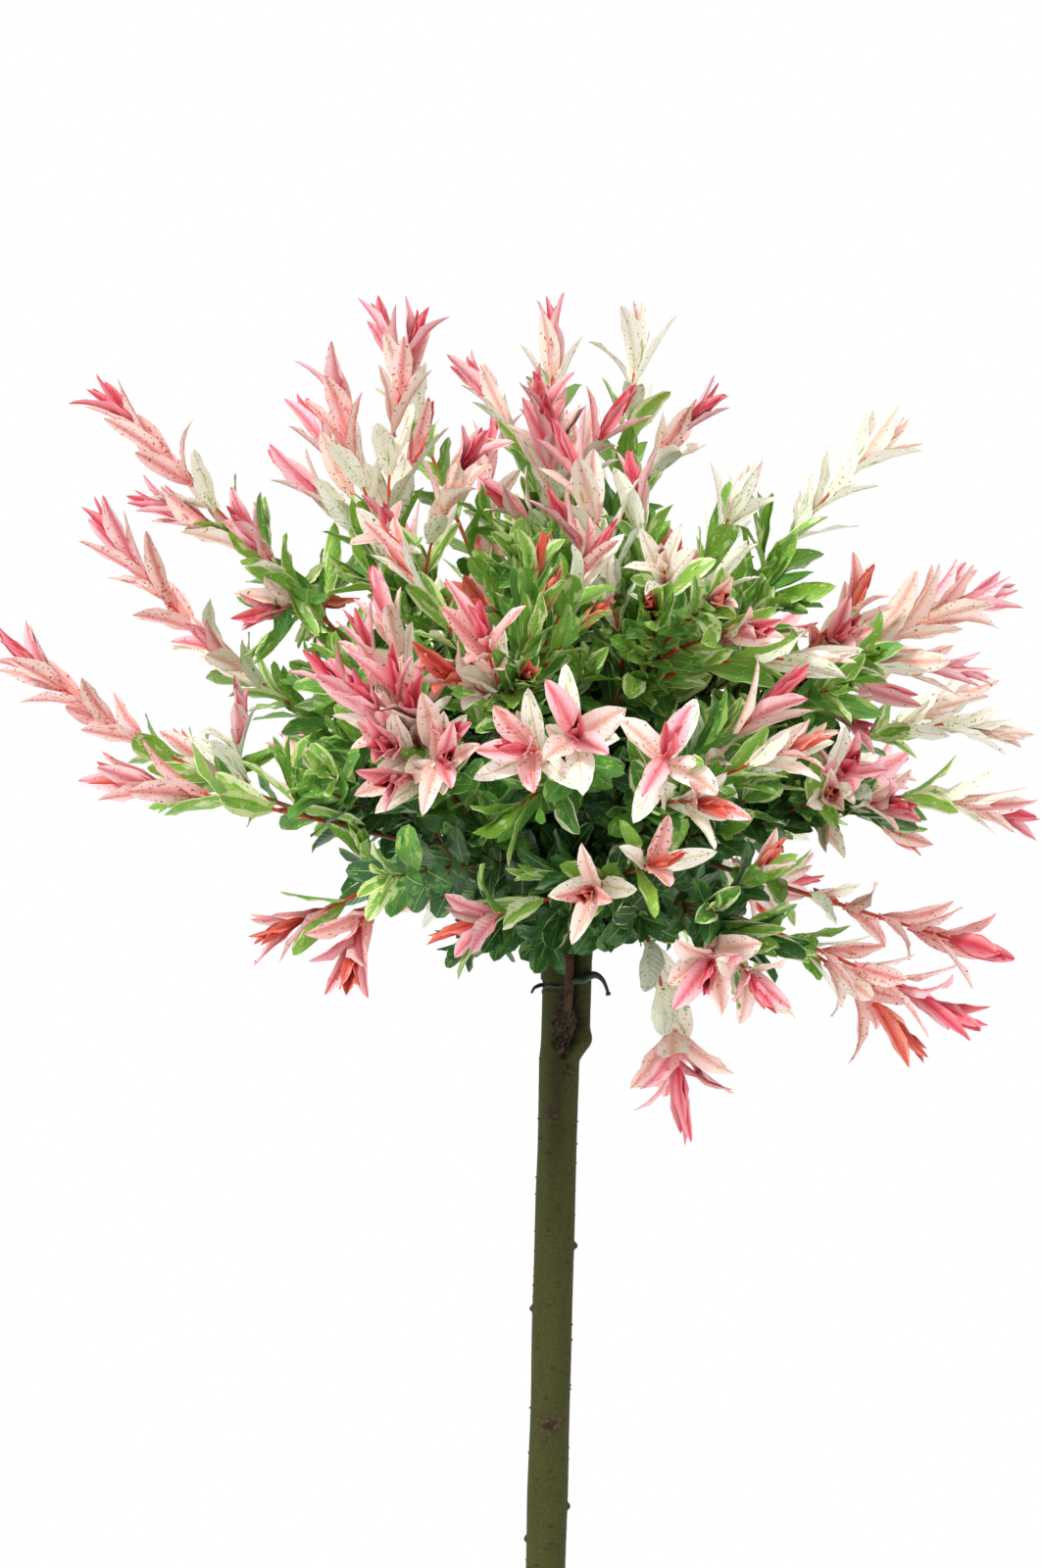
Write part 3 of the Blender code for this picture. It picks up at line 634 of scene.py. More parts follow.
def side_shoots(leaders):
    """The side shoots that the photo shows, then those of the back, whose tips keep an even distance."""
    head = trunk_axis(HEAD_HEIGHT)
    sprays = [leader for leader in leaders if not leader.body]
    found = [branch(sprays, head + direction(*row[:2]) * row[2], *row[3:]) for row in SIDE_SHOOTS]
    tips = [(shoot.curve.end - head).normalized() for shoot in sprays + found]
    for leader in sprays:
        offset = leader.curve.end - head
        reach, heading = offset.length + spear(leader.vigour), offset.normalized()
        rng = own_random(leader.name)
        first_turn = rng.uniform(0, 2 * math.pi)
        for k in range(BACK_SIDES):
            for attempt in range(BACK_TRIES):
                turn = first_turn + (k + attempt) * GOLDEN_ANGLE
                spread = SIDE_TURN * rng.uniform(*TURN_VARIES)
                tip_heading = leaning(heading, turn, spread)
                shown = math.hypot(tip_heading.x * reach / BACK_REACH, tip_heading.z * reach / BACK_HEIGHT)
                if tip_heading.y < BACK_START or tip_heading.z < BACK_LOWEST or shown > 1:
                    continue
                if min(tip_heading.angle(tip) for tip in tips) < TIP_GAP:
                    continue
                tips.append(tip_heading)
                tip = head + tip_heading * reach * rng.uniform(*SIDE_REACH)
                openness = leader.openness + rng.uniform(*BACK_OPENS)
                found.append(branch(sprays, tip, leader.tone, openness, rng.uniform(*BACK_VIGOUR)))
                break
    return found


def underside(place):
    """Height of the twigs' lowest ends: lowest round the trunk."""
    out = Vector((place.x - UNDERSIDE_MIDDLE, place.y))
    return LOWEST_LEAF + UNDERSIDE_RISE * max(out.length - UNDERSIDE_RADIUS, 0)


def thinned(place, rng):
    """True for a place in the hollow, and mostly true where the head is open low down."""
    hollow = (place - trunk_axis(HEAD_HEIGHT)).angle(direction(*HOLLOW)) < HOLLOW_SPREAD
    is_open = any(low <= place.x < high and place.z < top for low, high, top in OPEN_PLACES)
    return hollow or (is_open and rng.random() < OPEN_SHARE)


def outside_greens(place):
    """True where a place is outside the head's green part, past which only sprays reach."""
    offset = place - trunk_axis(HEAD_HEIGHT)
    across = math.hypot(offset.x, offset.y) / GREEN_RADIUS
    return across ** 2 + (offset.z / GREEN_HEIGHT) ** 2 > 1


def shaded_twig(start, end, bare, vigour, rise=0.0):
    """A twig whose leaves are dark with painted shade where deep in the head, straight or with its middle
    raised by rise.
    """
    curve = Curve(start, start.lerp(end, 0.5) + Vector((0, 0, rise)), end)
    return Shoot(curve, TWIG_RADIUS, "shade", bare, 0, vigour, True)


def body_twigs(leaders, rng):
    """Leafy twigs in a spiral up the stem of each green mass."""
    twigs = []
    for leader in leaders:
        if not leader.body:
            continue
        for k in range(BODY_TWIGS):
            t = 0.04 + 0.92 * k / BODY_TWIGS
            angle = math.radians(rng.uniform(*BODY_TWIG_ANGLE))
            heading = leaning(leader.curve.along(t), k * GOLDEN_ANGLE + BODY_TWIG_TURN, angle)
            length = rng.uniform(*BODY_TWIG_LENGTH)
            start = leader.curve.at(t)
            if outside_greens(start + heading * length):
                length *= BODY_TWIG_SHORTER
            end = start + heading * length
            if outside_greens(end):
                continue
            lift = underside(end) + UNDERSIDE_CLEAR - end.z
            if lift > MOST_LIFT or thinned(end, rng):
                continue
            if lift > 0:
                heading = (heading + Vector((0, 0, lift / length))).normalized()
            end = start + heading * length + Vector((0, 0, BODY_TWIG_RISE * length))
            curve = Curve(start, start + heading * length * 0.5, end)
            tone = "tinged" if rng.random() < TINGED_SHARE and k > 4 else "leafy" if k > 3 else "shade"
            vigour = rng.uniform(*BODY_TWIG_VIGOUR)
            twigs.append(Shoot(curve, TWIG_RADIUS, tone, TWIG_BARE, 0, vigour, True))
    return twigs


def inner_twigs(boughs, rng):
    """Short twigs round the leader's foot, up the leader, and on the boughs."""
    twigs = []
    for k in range(COLLAR_TWIGS):
        azimuth = 360 * k / COLLAR_TWIGS + rng.uniform(-10, 10)
        droop = COLLAR_DROOP + COLLAR_VARIES * math.cos(math.radians(azimuth - COLLAR_LOWEST_SIDE))
        droop -= COLLAR_VARIES * max(-math.sin(math.radians(azimuth)), 0)
        heading = direction(azimuth, rng.uniform(-7, 7) - droop)
        start = trunk_axis(COLLAR_HEIGHT + 0.005 * (k % 4))
        end = start + heading * rng.uniform(*COLLAR_LENGTH)
        if end.x >= COLLAR_LEFT:
            twigs.append(shaded_twig(start, end, INNER_BARE, 0.9, COLLAR_ARCH))
    for k in range(CROWN_TWIGS):
        heading = direction(math.degrees(k * GOLDEN_ANGLE), rng.uniform(*CROWN_ELEVATION))
        start = trunk_axis(CROWN_HEIGHT + CROWN_RISE * k / CROWN_TWIGS)
        end = start + heading * rng.uniform(*CROWN_LENGTH)
        twigs.append(shaded_twig(start, end, INNER_BARE, 1.0))
    for curve in boughs.values():
        for k in range(BOUGH_TWIGS):
            t = BOUGH_TWIG_FIRST + BOUGH_TWIG_STEP * k
            angle = math.radians(rng.uniform(*BOUGH_TWIG_ANGLE))
            heading = leaning(curve.along(t), k * GOLDEN_ANGLE + BOUGH_TWIG_TURN, angle)
            heading.z = max(heading.z, BOUGH_TWIG_LOWEST)
            start = curve.at(t)
            end = start + heading * rng.uniform(*BOUGH_TWIG_LENGTH)
            if not thinned(end, rng):
                twigs.append(shaded_twig(start, end, BOUGH_TWIG_BARE, 0.9))
    return twigs


LEAF_FIELDS = ("root", "along", "face", "length", "width", "fold", "curl", "sway", "wave", "tint", "inner")


def leaf_arrays(rows):
    """Leaves of one kind, as an array for each field."""
    return {field: np.array(column, dtype=float) for field, column in zip(LEAF_FIELDS, zip(*rows))}


def kind_of(tone, place):
    return next((kind for kind, last in TONES[tone].items() if place < last), "green")


def green_by_place(place, head, rng):
    """Leaves deep in the head and low on it get a darker green as painted shade, and those on top are
    bright.
    """
    depth = (place - head).length + rng.uniform(-DEPTH_VARIES, DEPTH_VARIES)
    lowest, highest = SHADE_RANGE
    shade = min(max(SHADE_HEIGHT + SHADE_SLOPE * (place.x - SHADE_MIDDLE), lowest), highest)
    if depth < DARK_DEPTH or (depth < SHADED_DEPTH and place.z < shade + rng.uniform(-0.02, 0.02)):
        return "dark_green"
    if place.z > BRIGHT_HEIGHT and rng.random() < BRIGHT_SHARE:
        return "lime"
    return "green"


# How much of a leaf lies inside its pale margin, for each green kind, but never less than WIDEST_MARGIN.
# A leaf past NO_MARGIN has none. RAGGED is how much the margin varies along the leaf.
WIDEST_MARGIN = 0.25
NO_MARGIN = 0.97
RAGGED = 0.08
INNER_SHARES = {
    "lime": (0.45, 0.65, 0.80, 0.90, 1.0, 1.0),
    "green": (0.70, 0.85, 0.92, 1.0, 1.0, 1.0, 1.0, 1.0),
    "dark_green": (0.90, 1.0, 1.0, 1.0, 1.0, 1.0, 1.0),
}


def dress(shoot, leaves):
    """Leaf pairs from the tip of a shoot down, each turned a quarter from the last."""
    pairs, gaps = (BODY_PAIRS, BODY_GAPS) if shoot.body else (PAIRS, PAIR_GAPS)
    head = trunk_axis(HEAD_HEIGHT)
    curve = shoot.curve
    rng = own_random(*[round(value, 4) for value in curve.end])
    turn = rng.uniform(0, 2 * math.pi)
    size = size_by(shoot.vigour) * rng.uniform(*SIZE_SHARE)
    gap_scale = 1.0 if shoot.body else 0.55 + 0.45 * shoot.vigour
    travelled, k = 0.0, 0
    while travelled < curve.length * (1 - shoot.leafy_from):
        t = 1 - travelled / curve.length
        place, along = curve.at(t), curve.along(t)
        across = any_normal(along)
        opening, length, width, fold, curl = pairs[min(k, len(pairs) - 1)]
        if 0 < k < 4:
            opening += shoot.openness
            curl += 0.3 * shoot.openness
        colour_place = k if shoot.body else k / shoot.vigour
        kind = kind_of(shoot.tone, colour_place + rng.uniform(*COLOUR_VARIES))
        if kind == "green":
            kind = green_by_place(place, head, rng)
        inner = rng.choice(INNER_SHARES[kind]) if kind in INNER_SHARES else 1.0
        third = k == 0 or (k > 1 and not shoot.body and rng.random() < THIRD_LEAVES)
        count = 3 if third else 2
        star = shoot.openness > STAR_OPENING and 0 < k < STAR_PAIRS * shoot.vigour
        star_shares = STAR_SHARES if star else (1, 1, 1)
        for j in range(count):
            around = turn + 2 * math.pi * j / count + rng.uniform(*LEAF_TURN)
            out = Matrix.Rotation(around, 3, along) @ across
            angle = math.radians(opening * rng.uniform(*OPENING_SHARE))
            heading = (along * math.cos(angle) + out * math.sin(angle)).normalized()
            face = (along - heading * along.dot(heading)).normalized()
            face = Matrix.Rotation(rng.gauss(0, LEAF_TWIST), 3, heading) @ face
            long_by = size * rng.uniform(*LENGTH_SHARE) * star_shares[0]
            wide_by = size * rng.uniform(*WIDTH_SHARE) * star_shares[1]
            folded = fold * rng.uniform(*FOLD_SHARE) * star_shares[2]
            bend = curl * rng.uniform(*CURL_SHARE)
            if rng.random() < CURLED_LEAVES and k > 0:
                bend += CURLED_BY
            leaves[kind].append((
                place, heading, face, length * long_by / 1000, width * wide_by / 1000,
                math.radians(folded), math.radians(bend),
                rng.gauss(0, LEAF_SWAY), rng.uniform(0, 1), rng.random(), inner))
        turn += math.pi / 2 + rng.uniform(*PAIR_TURN)
        share = STAR_GAP_SHARE if shoot.openness > STAR_OPENING and k < 3 else 1.0
        travelled += gaps[min(k, len(gaps) - 1)] * gap_scale * share * rng.uniform(*GAP_SHARE)
        k += 1


def leaf_spines(leaves):
    """Middle line of each leaf, and the ways up and sideways at each station, as arrays."""
    along, face, length = leaves["along"], leaves["face"], leaves["length"]
    side = np.cross(along, face)
    bend = leaves["curl"][:, None] * STATIONS ** CURL_POWER
    sway = leaves["sway"][:, None] * STATIONS
    flat = np.cos(sway)[..., None] * along[:, None] + np.sin(sway)[..., None] * side[:, None]
    forward = np.cos(bend)[..., None] * flat - np.sin(bend)[..., None] * face[:, None]
    up = np.cos(bend)[..., None] * face[:, None] + np.sin(bend)[..., None] * flat
    steps = (forward[:, 1:] + forward[:, :-1]) / 2 * np.diff(STATIONS)[None, :, None] * length[:, None, None]
    travelled = np.concatenate([np.zeros_like(steps[:, :1]), np.cumsum(steps, axis=1)], axis=1)
    middle = leaves["root"][:, None] + travelled
    return middle, up, np.cross(forward, up)


def half_widths(leaves, widest, fullness, base):
    """Half of the leaf's width at each station, from base at its root and widest at the share widest."""
    power = math.log(0.5) / math.log(widest)
    outline = np.sin(math.pi * STATIONS ** power).clip(0) ** fullness
    outline = np.maximum(outline, base * (1 - STATIONS))
    return leaves["width"][:, None] / 2 * outline[None]


def leaf_points(leaves, spines, half, across):
    """Points of the leaves as (leaf, station, column, 3). across runs from -1 to 1 over the width."""
    middle, up, side = spines
    fold = leaves["fold"][:, None, None]
    offset = across * half[..., None]
    phase = RIPPLES * STATIONS[None, :, None] + leaves["wave"][:, None, None]
    ripple = np.sin(2 * math.pi * (phase + RIPPLE_SHIFT * np.sign(across)))
    lift = np.abs(offset) * np.sin(fold) + RIPPLE_HEIGHT * ripple * half[..., None] * across ** 2
    sideways = side[:, :, None] * (offset * np.cos(fold))[..., None]
    return middle[:, :, None] + sideways + up[:, :, None] * lift[..., None]


def sheet_faces(count, rows, columns):
    """Faces of leaves whose last station is one point: quads, and the triangles at the tip."""
    quads = []
    for r in range(rows - 2):
        for c in range(columns - 1):
            low, high = r * columns, (r + 1) * columns
            quads.append((low + c, low + c + 1, high + c + 1, high + c))
    last, tip = (rows - 2) * columns, (rows - 1) * columns
    triangles = [(last + c, last + c + 1, tip) for c in range(columns - 1)]
    base = (np.arange(count) * (tip + 1))[:, None, None]
    return (np.array(quads)[None] + base).reshape(-1, 4), (np.array(triangles)[None] + base).reshape(-1, 3)


def sheets(points, across, leaves):
    """Flat arrays of points, faces and leaf coordinates, with the last station drawn to one point."""
    count, rows, columns, _ = points.shape
    quads, triangles = sheet_faces(count, rows, columns)
    spread = np.broadcast_to(across, (count, rows, columns))
    place = np.broadcast_to(STATIONS[None, :, None], (count, rows, columns))
    tint = np.broadcast_to(leaves["tint"][:, None, None], (count, rows, columns))
    coordinates = np.stack([spread, place, tint], axis=-1)

    def close(values):
        body = values[:, :-1].reshape(count, -1, 3)
        tip = values[:, -1, columns // 2][:, None]
        return np.concatenate([body, tip], axis=1).reshape(-1, 3)

    return close(points), quads, triangles, close(coordinates)


def rib_strips(leaves, spines):
    """The midrib of each leaf, as a thin raised strip on its upper side."""
    middle, up, side = spines
    taper = RIB_HALF_WIDTH * (1 + RIB_TIP_SHARE - STATIONS)[None, :, None]
    lift = up * (RIB_RISE + np.sin(leaves["fold"])[:, None, None] * taper)
    strip = np.stack([middle - side * taper + lift, middle + side * taper + lift], axis=2)
    return sheets(strip, np.zeros((1, 1, 1)), leaves)


def join_parts(parts):
    points, quads, triangles, coordinates, base = [], [], [], [], 0
    for p, q, t, c in parts:
        points.append(p)
        quads.append(q + base)
        triangles.append(t + base)
        coordinates.append(c)
        base += len(p)
    return [np.concatenate(group) for group in (points, quads, triangles, coordinates)]


def make_piece(name, part, material, nodes=()):
    """One mesh object from arrays, riding on the plant's one body."""
    points, quads, triangles, coordinates = part
    mesh = bpy.data.meshes.new(name)
    mesh.vertices.add(len(points))
    mesh.vertices.foreach_set("co", points.astype(np.float32).ravel())
    corners = np.concatenate([quads.ravel(), triangles.ravel()]).astype(np.int32)
    sizes = np.concatenate([np.full(len(quads), 4), np.full(len(triangles), 3)]).astype(np.int32)
    mesh.loops.add(len(corners))
    mesh.loops.foreach_set("vertex_index", corners)
    mesh.polygons.add(len(sizes))
    mesh.polygons.foreach_set("loop_start", np.concatenate([[0], np.cumsum(sizes)[:-1]]).astype(np.int32))
    mesh.polygons.foreach_set("use_smooth", np.ones(len(sizes), dtype=bool))
    mesh.update(calc_edges=True)
    layer = mesh.attributes.new("place", "FLOAT_VECTOR", "POINT")
    layer.data.foreach_set("vector", coordinates.astype(np.float32).ravel())
    mesh.materials.append(material)
    obj = bpy.data.objects.new(name, mesh)
    bpy.context.scene.collection.objects.link(obj)
    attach(obj, "root")
    if nodes:
        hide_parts(*nodes)


def rib_colour(kind):
    if kind not in PINK_KINDS:
        return "green"
    return "pink" if kind in ("rose", "coral", "pink") else "pale"


def make_leaves(leaves, rng):
    """A piece for each kind of leaf, with the pale margins and the ribs as pieces of their own."""
    margins = []
    ribs = {"green": [], "pink": [], "pale": []}
    parts = {}
    for kind, rows in leaves.items():
        has_margin = kind in INNER_SHARES
        arrays = leaf_arrays(rows)
        spines = leaf_spines(arrays)
        half = half_widths(arrays, *LEAF_SHAPES[kind], STALK_WIDTH if has_margin else CLASPING_WIDTH)
        count = len(arrays["length"])
        columns = np.array([-1, -0.5, 0, 0.5, 1.0])
        across = np.broadcast_to(columns[None, None], (count, len(STATIONS), len(columns)))
        if has_margin:
            plain = arrays["inner"] > NO_MARGIN
            ragged = arrays["inner"][:, None] + rng.normal(0, RAGGED, (2, count, len(STATIONS)))
            left, right = np.where(plain[:, None], 1.0, ragged.clip(WIDEST_MARGIN, NO_MARGIN))
            across = np.stack([-left, -left / 2, 0 * left, right / 2, right], axis=-1)
            edged = {field: values[~plain] for field, values in arrays.items()}
            edged_spines = [values[~plain] for values in spines]
            for inner, edge in ((-left, -1.0), (right, 1.0)):
                pair = (inner[~plain], np.full_like(inner[~plain], edge))
                sides = np.stack(pair if edge > 0 else pair[::-1], axis=-1)
                margins.append(sheets(leaf_points(edged, edged_spines, half[~plain], sides), sides, edged))
        parts[kind] = sheets(leaf_points(arrays, spines, half, across), across, arrays)
        ribs[rib_colour(kind)].append(rib_strips(arrays, spines))
    return parts, margins, ribs


def tube(points, radii, sides):
    """A tube along points, as a part whose leaf coordinates are 0."""
    points = np.array(points)
    tangents = np.gradient(points, axis=0)
    tangents /= np.linalg.norm(tangents, axis=1)[:, None]
    normal = np.array(any_normal(Vector(tangents[0])))
    rings = []
    for point, tangent, radius in zip(points, tangents, radii):
        normal = normal - tangent * normal.dot(tangent)
        normal /= np.linalg.norm(normal)
        other = np.cross(tangent, normal)
        angles = np.arange(sides) * 2 * math.pi / sides
        rings.append(point + radius * (np.cos(angles)[:, None] * normal + np.sin(angles)[:, None] * other))
    return ring_skin(np.array(rings))


def ring_skin(rings):
    """A closed surface over rings of points, with a point in the middle of each end."""
    count, sides, _ = rings.shape
    ends = rings[[0, -1]].mean(axis=1)
    points = np.concatenate([rings.reshape(-1, 3), ends])
    r, i = np.meshgrid(np.arange(count - 1), np.arange(sides), indexing="ij")
    j = (i + 1) % sides
    low, high = r * sides, (r + 1) * sides
    quads = np.stack([low + i, low + j, high + j, high + i], axis=-1).reshape(-1, 4)
    first, last, top = count * sides, count * sides + 1, (count - 1) * sides
    triangles = []
    for i in range(sides):
        j = (i + 1) % sides
        triangles += [(first, j, i), (last, top + i, top + j)]
    return points, quads, np.array(triangles), np.zeros_like(points)


def shoot_tubes(shoots):
    """Stems of the shoots, as the red young ends and the browner lower parts."""
    young, old = [], []
    for shoot in shoots:
        ts = np.linspace(0, 1.0, BODY_STEM_RINGS if shoot.body else STEM_RINGS)
        tip = min(SHOOT_TIP_RADIUS, shoot.radius * 0.7)
        radii = shoot.radius + (tip - shoot.radius) * ts
        points = np.array([shoot.curve.at(t) for t in ts])
        cut = len(ts) - 1 if shoot.body else OLD_STEM_RINGS
        old.append(tube(points[:cut + 1], radii[:cut + 1], STEM_SIDES))
        if not shoot.body:
            young.append(tube(points[cut:], radii[cut:], STEM_SIDES))
    return young, old


# The trunk in relief

# height, angle, size in mm and half height of each knob that stands out of the trunk
KNOBS = (
    (0.6945, 0, 2.4, 0.0026), (0.6625, 180, 1.9, 0.0024), (0.5615, 3, 2.0, 0.0026),
    (0.5450, 182, 1.8, 0.0024), (0.7617, 250, 0.9, 0.0036), (0.6045, 268, 0.7, 0.0044),
    (0.7260, 120, 1.8, 0.0026), (0.6400, 60, 1.9, 0.0026), (0.5850, 140, 1.7, 0.0026),
    (0.4800, 300, 1.6, 0.0030), (0.4300, 150, 1.8, 0.0026), (0.3850, 30, 1.9, 0.0026),
    (0.3300, 215, 1.6, 0.0030), (0.2700, 340, 2.0, 0.0028), (0.2050, 100, 1.8, 0.0026),
    (0.1400, 250, 1.8, 0.0030),
)
TRUNK_SIDES = 112

# Rings of the trunk's mesh: from height, to height, and their distance
TRUNK_RINGS = (
    (0, 0.50, 0.0028), (0.50, 0.776, 0.0011), (0.776, 0.850, 0.0006), (0.850, LEADER_TOP + 0.0001, 0.0015),
)

# Scar of the graft: height, and its left and right edges in degrees round the trunk from the front
GRAFT_SCAR = (
    (0.7880, 6, 14), (0.7930, -8, 30), (0.7980, -26, 38), (0.8055, -35, 50), (0.8105, -33, 58),
    (0.8155, -27, 56), (0.8195, -12, 50), (0.8255, -3, 46), (0.8305, 5, 43), (0.8500, 6, 42),
)
SIDE_STEM_TURN = 76
SIDE_STEM_RISE = 0.0030

# Middle lines of the two scions: height, degrees round the trunk, and distance out of its surface
FRONT_SCION = (
    (0.8160, 290, -0.0034), (0.8190, 290, -0.0020), (0.8250, 290, -0.0012), (0.8400, 289, -0.0010),
    (0.8600, 286, 0.0012), (0.8800, 282, 0.0020), (0.8950, 278, 0.0010),
)
SIDE_SCION = ((0.838, 348, 0.0002), (0.850, 348, 0.0014), (0.864, 350, 0.0012), (0.882, 352, -0.0010))
SCION_RADIUS = 0.0030

# The tie: its height, its short end and its long one with the radii of the last rings
TIE_HEIGHT = 0.8272
TIE_HOOK = ((0.0085, -0.006, 0.8236), (0.0104, -0.007, 0.8266))
TIE_END = (
    (0.0285, -0.0100, 0.8298), (0.0340, -0.0125, 0.8306), (0.0382, -0.0095, 0.8326),
    (0.0414, -0.0080, 0.8328), (0.0446, -0.0080, 0.8306), (0.0466, -0.0080, 0.8266),
    (0.0478, -0.0080, 0.8224),
)
TIE_KNOB = (0.0009, 0.0012, 0.0014, 0.0014, 0.0012, 0.0006)
TIE_RINGS = 60


def graft_relief(z, angle):
    """Relief of the graft, and how brown and how dark it is there."""
    turn = math.degrees(math.remainder(angle - math.radians(270), 2 * math.pi))
    heights, lefts, rights = zip(*GRAFT_SCAR)
    axis = Vector((math.cos(angle), math.sin(angle), 0))
    rough = noise.noise(axis * 4.5 + Vector((9, 3, z * 170)))
    crags = noise.noise(axis * 11 + Vector((2, 5, z * 420)))
    left = np.interp(z, heights, lefts) + 9 * rough
    right = np.interp(z, heights, rights) + 4 * crags
    above = smooth((z - 0.7885) / 0.005)
    inside = smooth((turn - left) / 8) * smooth((right - turn) / 6) * above
    wider = 5 * smooth((z - 0.8080) / 0.006)
    crevice = math.exp(-((turn - right + wider) / (8 + wider)) ** 2) * smooth((z - 0.7905) / 0.008)
    hollow = bump((z - 0.7920) / 0.0028) * bump((turn - 12) / 24)
    wrinkled = bump((z - 0.7985) / 0.0075) * inside
    wrinkles = math.sin((z - 0.00015 * abs(turn - 4)) * 2 * math.pi / 0.0024 + 2 * rough)
    stem = SIDE_STEM_RISE + 0.0012 * bump((z - 0.8000) / 0.0070)
    height = stem * math.exp(-((turn - SIDE_STEM_TURN) / 26) ** 2) * smooth((z - 0.7870) / 0.010)
    height += inside * (-0.0007 + 0.0012 * rough + 0.0007 * crags) + 0.0006 * wrinkles * wrinkled
    height -= 0.0044 * crevice + 0.0022 * hollow
    spots = smooth((z - 0.7800) / 0.003) * smooth((0.7900 - z) / 0.003) * bump((turn - 22) / 30)
    height += 0.0008 * spots * crags
    lump = smooth((z - 0.8290) / 0.0020) * smooth((-turn - 20) / 40)
    height += 0.0010 * lump + 0.0004 * bump((z - 0.8240) / 0.0016) * smooth(-turn / 20)
    cracks = smooth((-0.12 - crags) / 0.25) * inside + smooth((-0.2 - wrinkles) / 0.6) * wrinkled * 0.8
    brown = max(inside * smooth((rough + 0.40) / 0.3), 0.8 * spots * smooth(crags / 0.3))
    dark = max(crevice, hollow, cracks, spots * smooth((0.05 - crags) / 0.3))
    return height, brown, dark


def relief(z, angle):
    """Height of the bark's relief over the trunk's round shape, and how brown and how dark it is. The dark
    takes in painted shade: a shadow down the front of the trunk under the head.
    """
    axis = Vector((math.cos(angle), math.sin(angle), 0))
    low = noise.noise(axis * 0.9 + Vector((0, 0, z * 22)))
    ridges = noise.noise(axis * 5.5 + Vector((4, 0, z * 30)))
    fine = noise.noise(axis * 16 + Vector((0, 7, z * 320)))
    height = 0.00034 * low + 0.00014 * ridges + 0.00007 * fine
    brown, dark = 0, 0
    for knob_z, knob_angle, size, half in KNOBS:
        dz = (z - knob_z) / half
        if abs(dz) > 2:
            continue
        da = math.remainder(angle - math.radians(knob_angle), 2 * math.pi) * TRUNK_RADIUS / (1.3 * half)
        away = math.hypot(dz, da)
        height += size / 1000 * (bump(away) - 0.3 * bump(away / 0.4))
        dark = max(dark, bump(away / 0.75) * (0.9 if size > 1 else 0.6))
        brown = max(brown, bump(away / 2))
    # Painted shade: the front of the trunk darkens from 0.67 m up towards the graft, as the head's shadow.
    front = math.degrees(math.remainder(angle - math.radians(264), 2 * math.pi))
    dark = max(dark, 0.46 * smooth((z - 0.67) / 0.11) * bump(front / 42))
    if z > 0.778:
        graft, graft_brown, graft_dark = graft_relief(z, angle)
        return height + graft, max(brown, graft_brown), max(dark, graft_dark)
    return height, brown, dark


def make_trunk(material):
    rings, shares = [], []
    for z in np.concatenate([np.arange(*row) for row in TRUNK_RINGS]):
        axis = trunk_axis(z)
        ring = []
        for i in range(TRUNK_SIDES):
            angle = 2 * math.pi * i / TRUNK_SIDES
            height, brown, dark = relief(z, angle)
            radius = trunk_radius(z, angle) + height
            ring.append((axis.x + radius * math.cos(angle), axis.y + radius * math.sin(angle), z))
            shares.append((brown, dark, 0))
        rings.append(ring)
    points, quads, triangles, _ = ring_skin(np.array(rings))
    shares = np.array(shares + [(0, 0, 0), (0, 0, 0)])
    make_piece("trunk_bark", (points, quads, triangles, shares), material, ["trunk"])


def make_boughs(boughs, material):
    parts = []
    for curve in boughs.values():
        ts = np.linspace(0, 1.03, BOUGH_TUBE_RINGS)
        centres = [curve.at(t) for t in ts]
        radii = BOUGH_FOOT_RADIUS + (BOUGH_FORK_RADIUS - BOUGH_FOOT_RADIUS) * ts
        part = tube(centres, radii, BOUGH_SIDES)
        for index, point in enumerate(part[0][:-2]):
            point = Vector(point)
            out = (point - centres[index // BOUGH_SIDES]).normalized()
            rough = noise.noise(point * 180) * 0.0004 + noise.noise(point * 700) * 0.00015
            part[0][index] += np.array(out) * rough
        parts.append(part)
    make_piece("bough_bark", join_parts(parts), material, [row[0] for row in BOUGHS])


def surface_point(z, angle_degrees, out=0.0):
    """A point on the trunk, out metres above its round shape."""
    angle = math.radians(angle_degrees)
    axis = trunk_axis(z)
    radius = trunk_radius(z, angle) + out
    return axis + Vector((radius * math.cos(angle), radius * math.sin(angle), 0))


def make_lenticels(material, rng):
    """Small raised dashes across the bark."""
    parts = []
    z, top = LENTICEL_HEIGHTS
    while z < top:
        angle = rng.uniform(0, 360)
        length = rng.uniform(*LENTICEL_LENGTH)
        centre = surface_point(z, angle, LENTICEL_RISE)
        out = direction(angle, 0)
        around = Vector((-out.y, out.x, 0))
        dots = []
        for s in (-1, -0.5, 0, 0.5, 1):
            dots.append(centre + around * length * s - out * (length * s) ** 2 / (2 * TRUNK_RADIUS))
        thick = rng.uniform(*LENTICEL_RADIUS)
        parts.append(tube(dots, [thick * f for f in (0.25, 0.9, 1, 0.9, 0.25)], 6))
        z += rng.uniform(*LENTICEL_STEP)
    make_piece("lenticels", join_parts(parts), material)


def rough_tube(points, radii, sides, roughness):
    part = tube(points, radii, sides)
    for index, point in enumerate(part[0]):
        part[0][index] += np.array(noise.noise_vector(Vector(point) * 260) * roughness)
    return part


def spline(points, count):
    """Points evenly along a smooth line through a few."""
    points = [Vector(p) for p in points]
    result = []
    spans = len(points) - 1
    for i in range(count):
        t = i / (count - 1) * spans
        k = min(int(t), spans - 1)
        t -= k
        before, start = points[max(k - 1, 0)], points[k]
        end, after = points[k + 1], points[min(k + 2, spans)]
        value = start * 2 + (end - before) * t + (before * 2 - start * 5 + end * 4 - after) * t * t
        value += (start * 3 - before - end * 3 + after) * t ** 3
        result.append(value * 0.5)
    return result


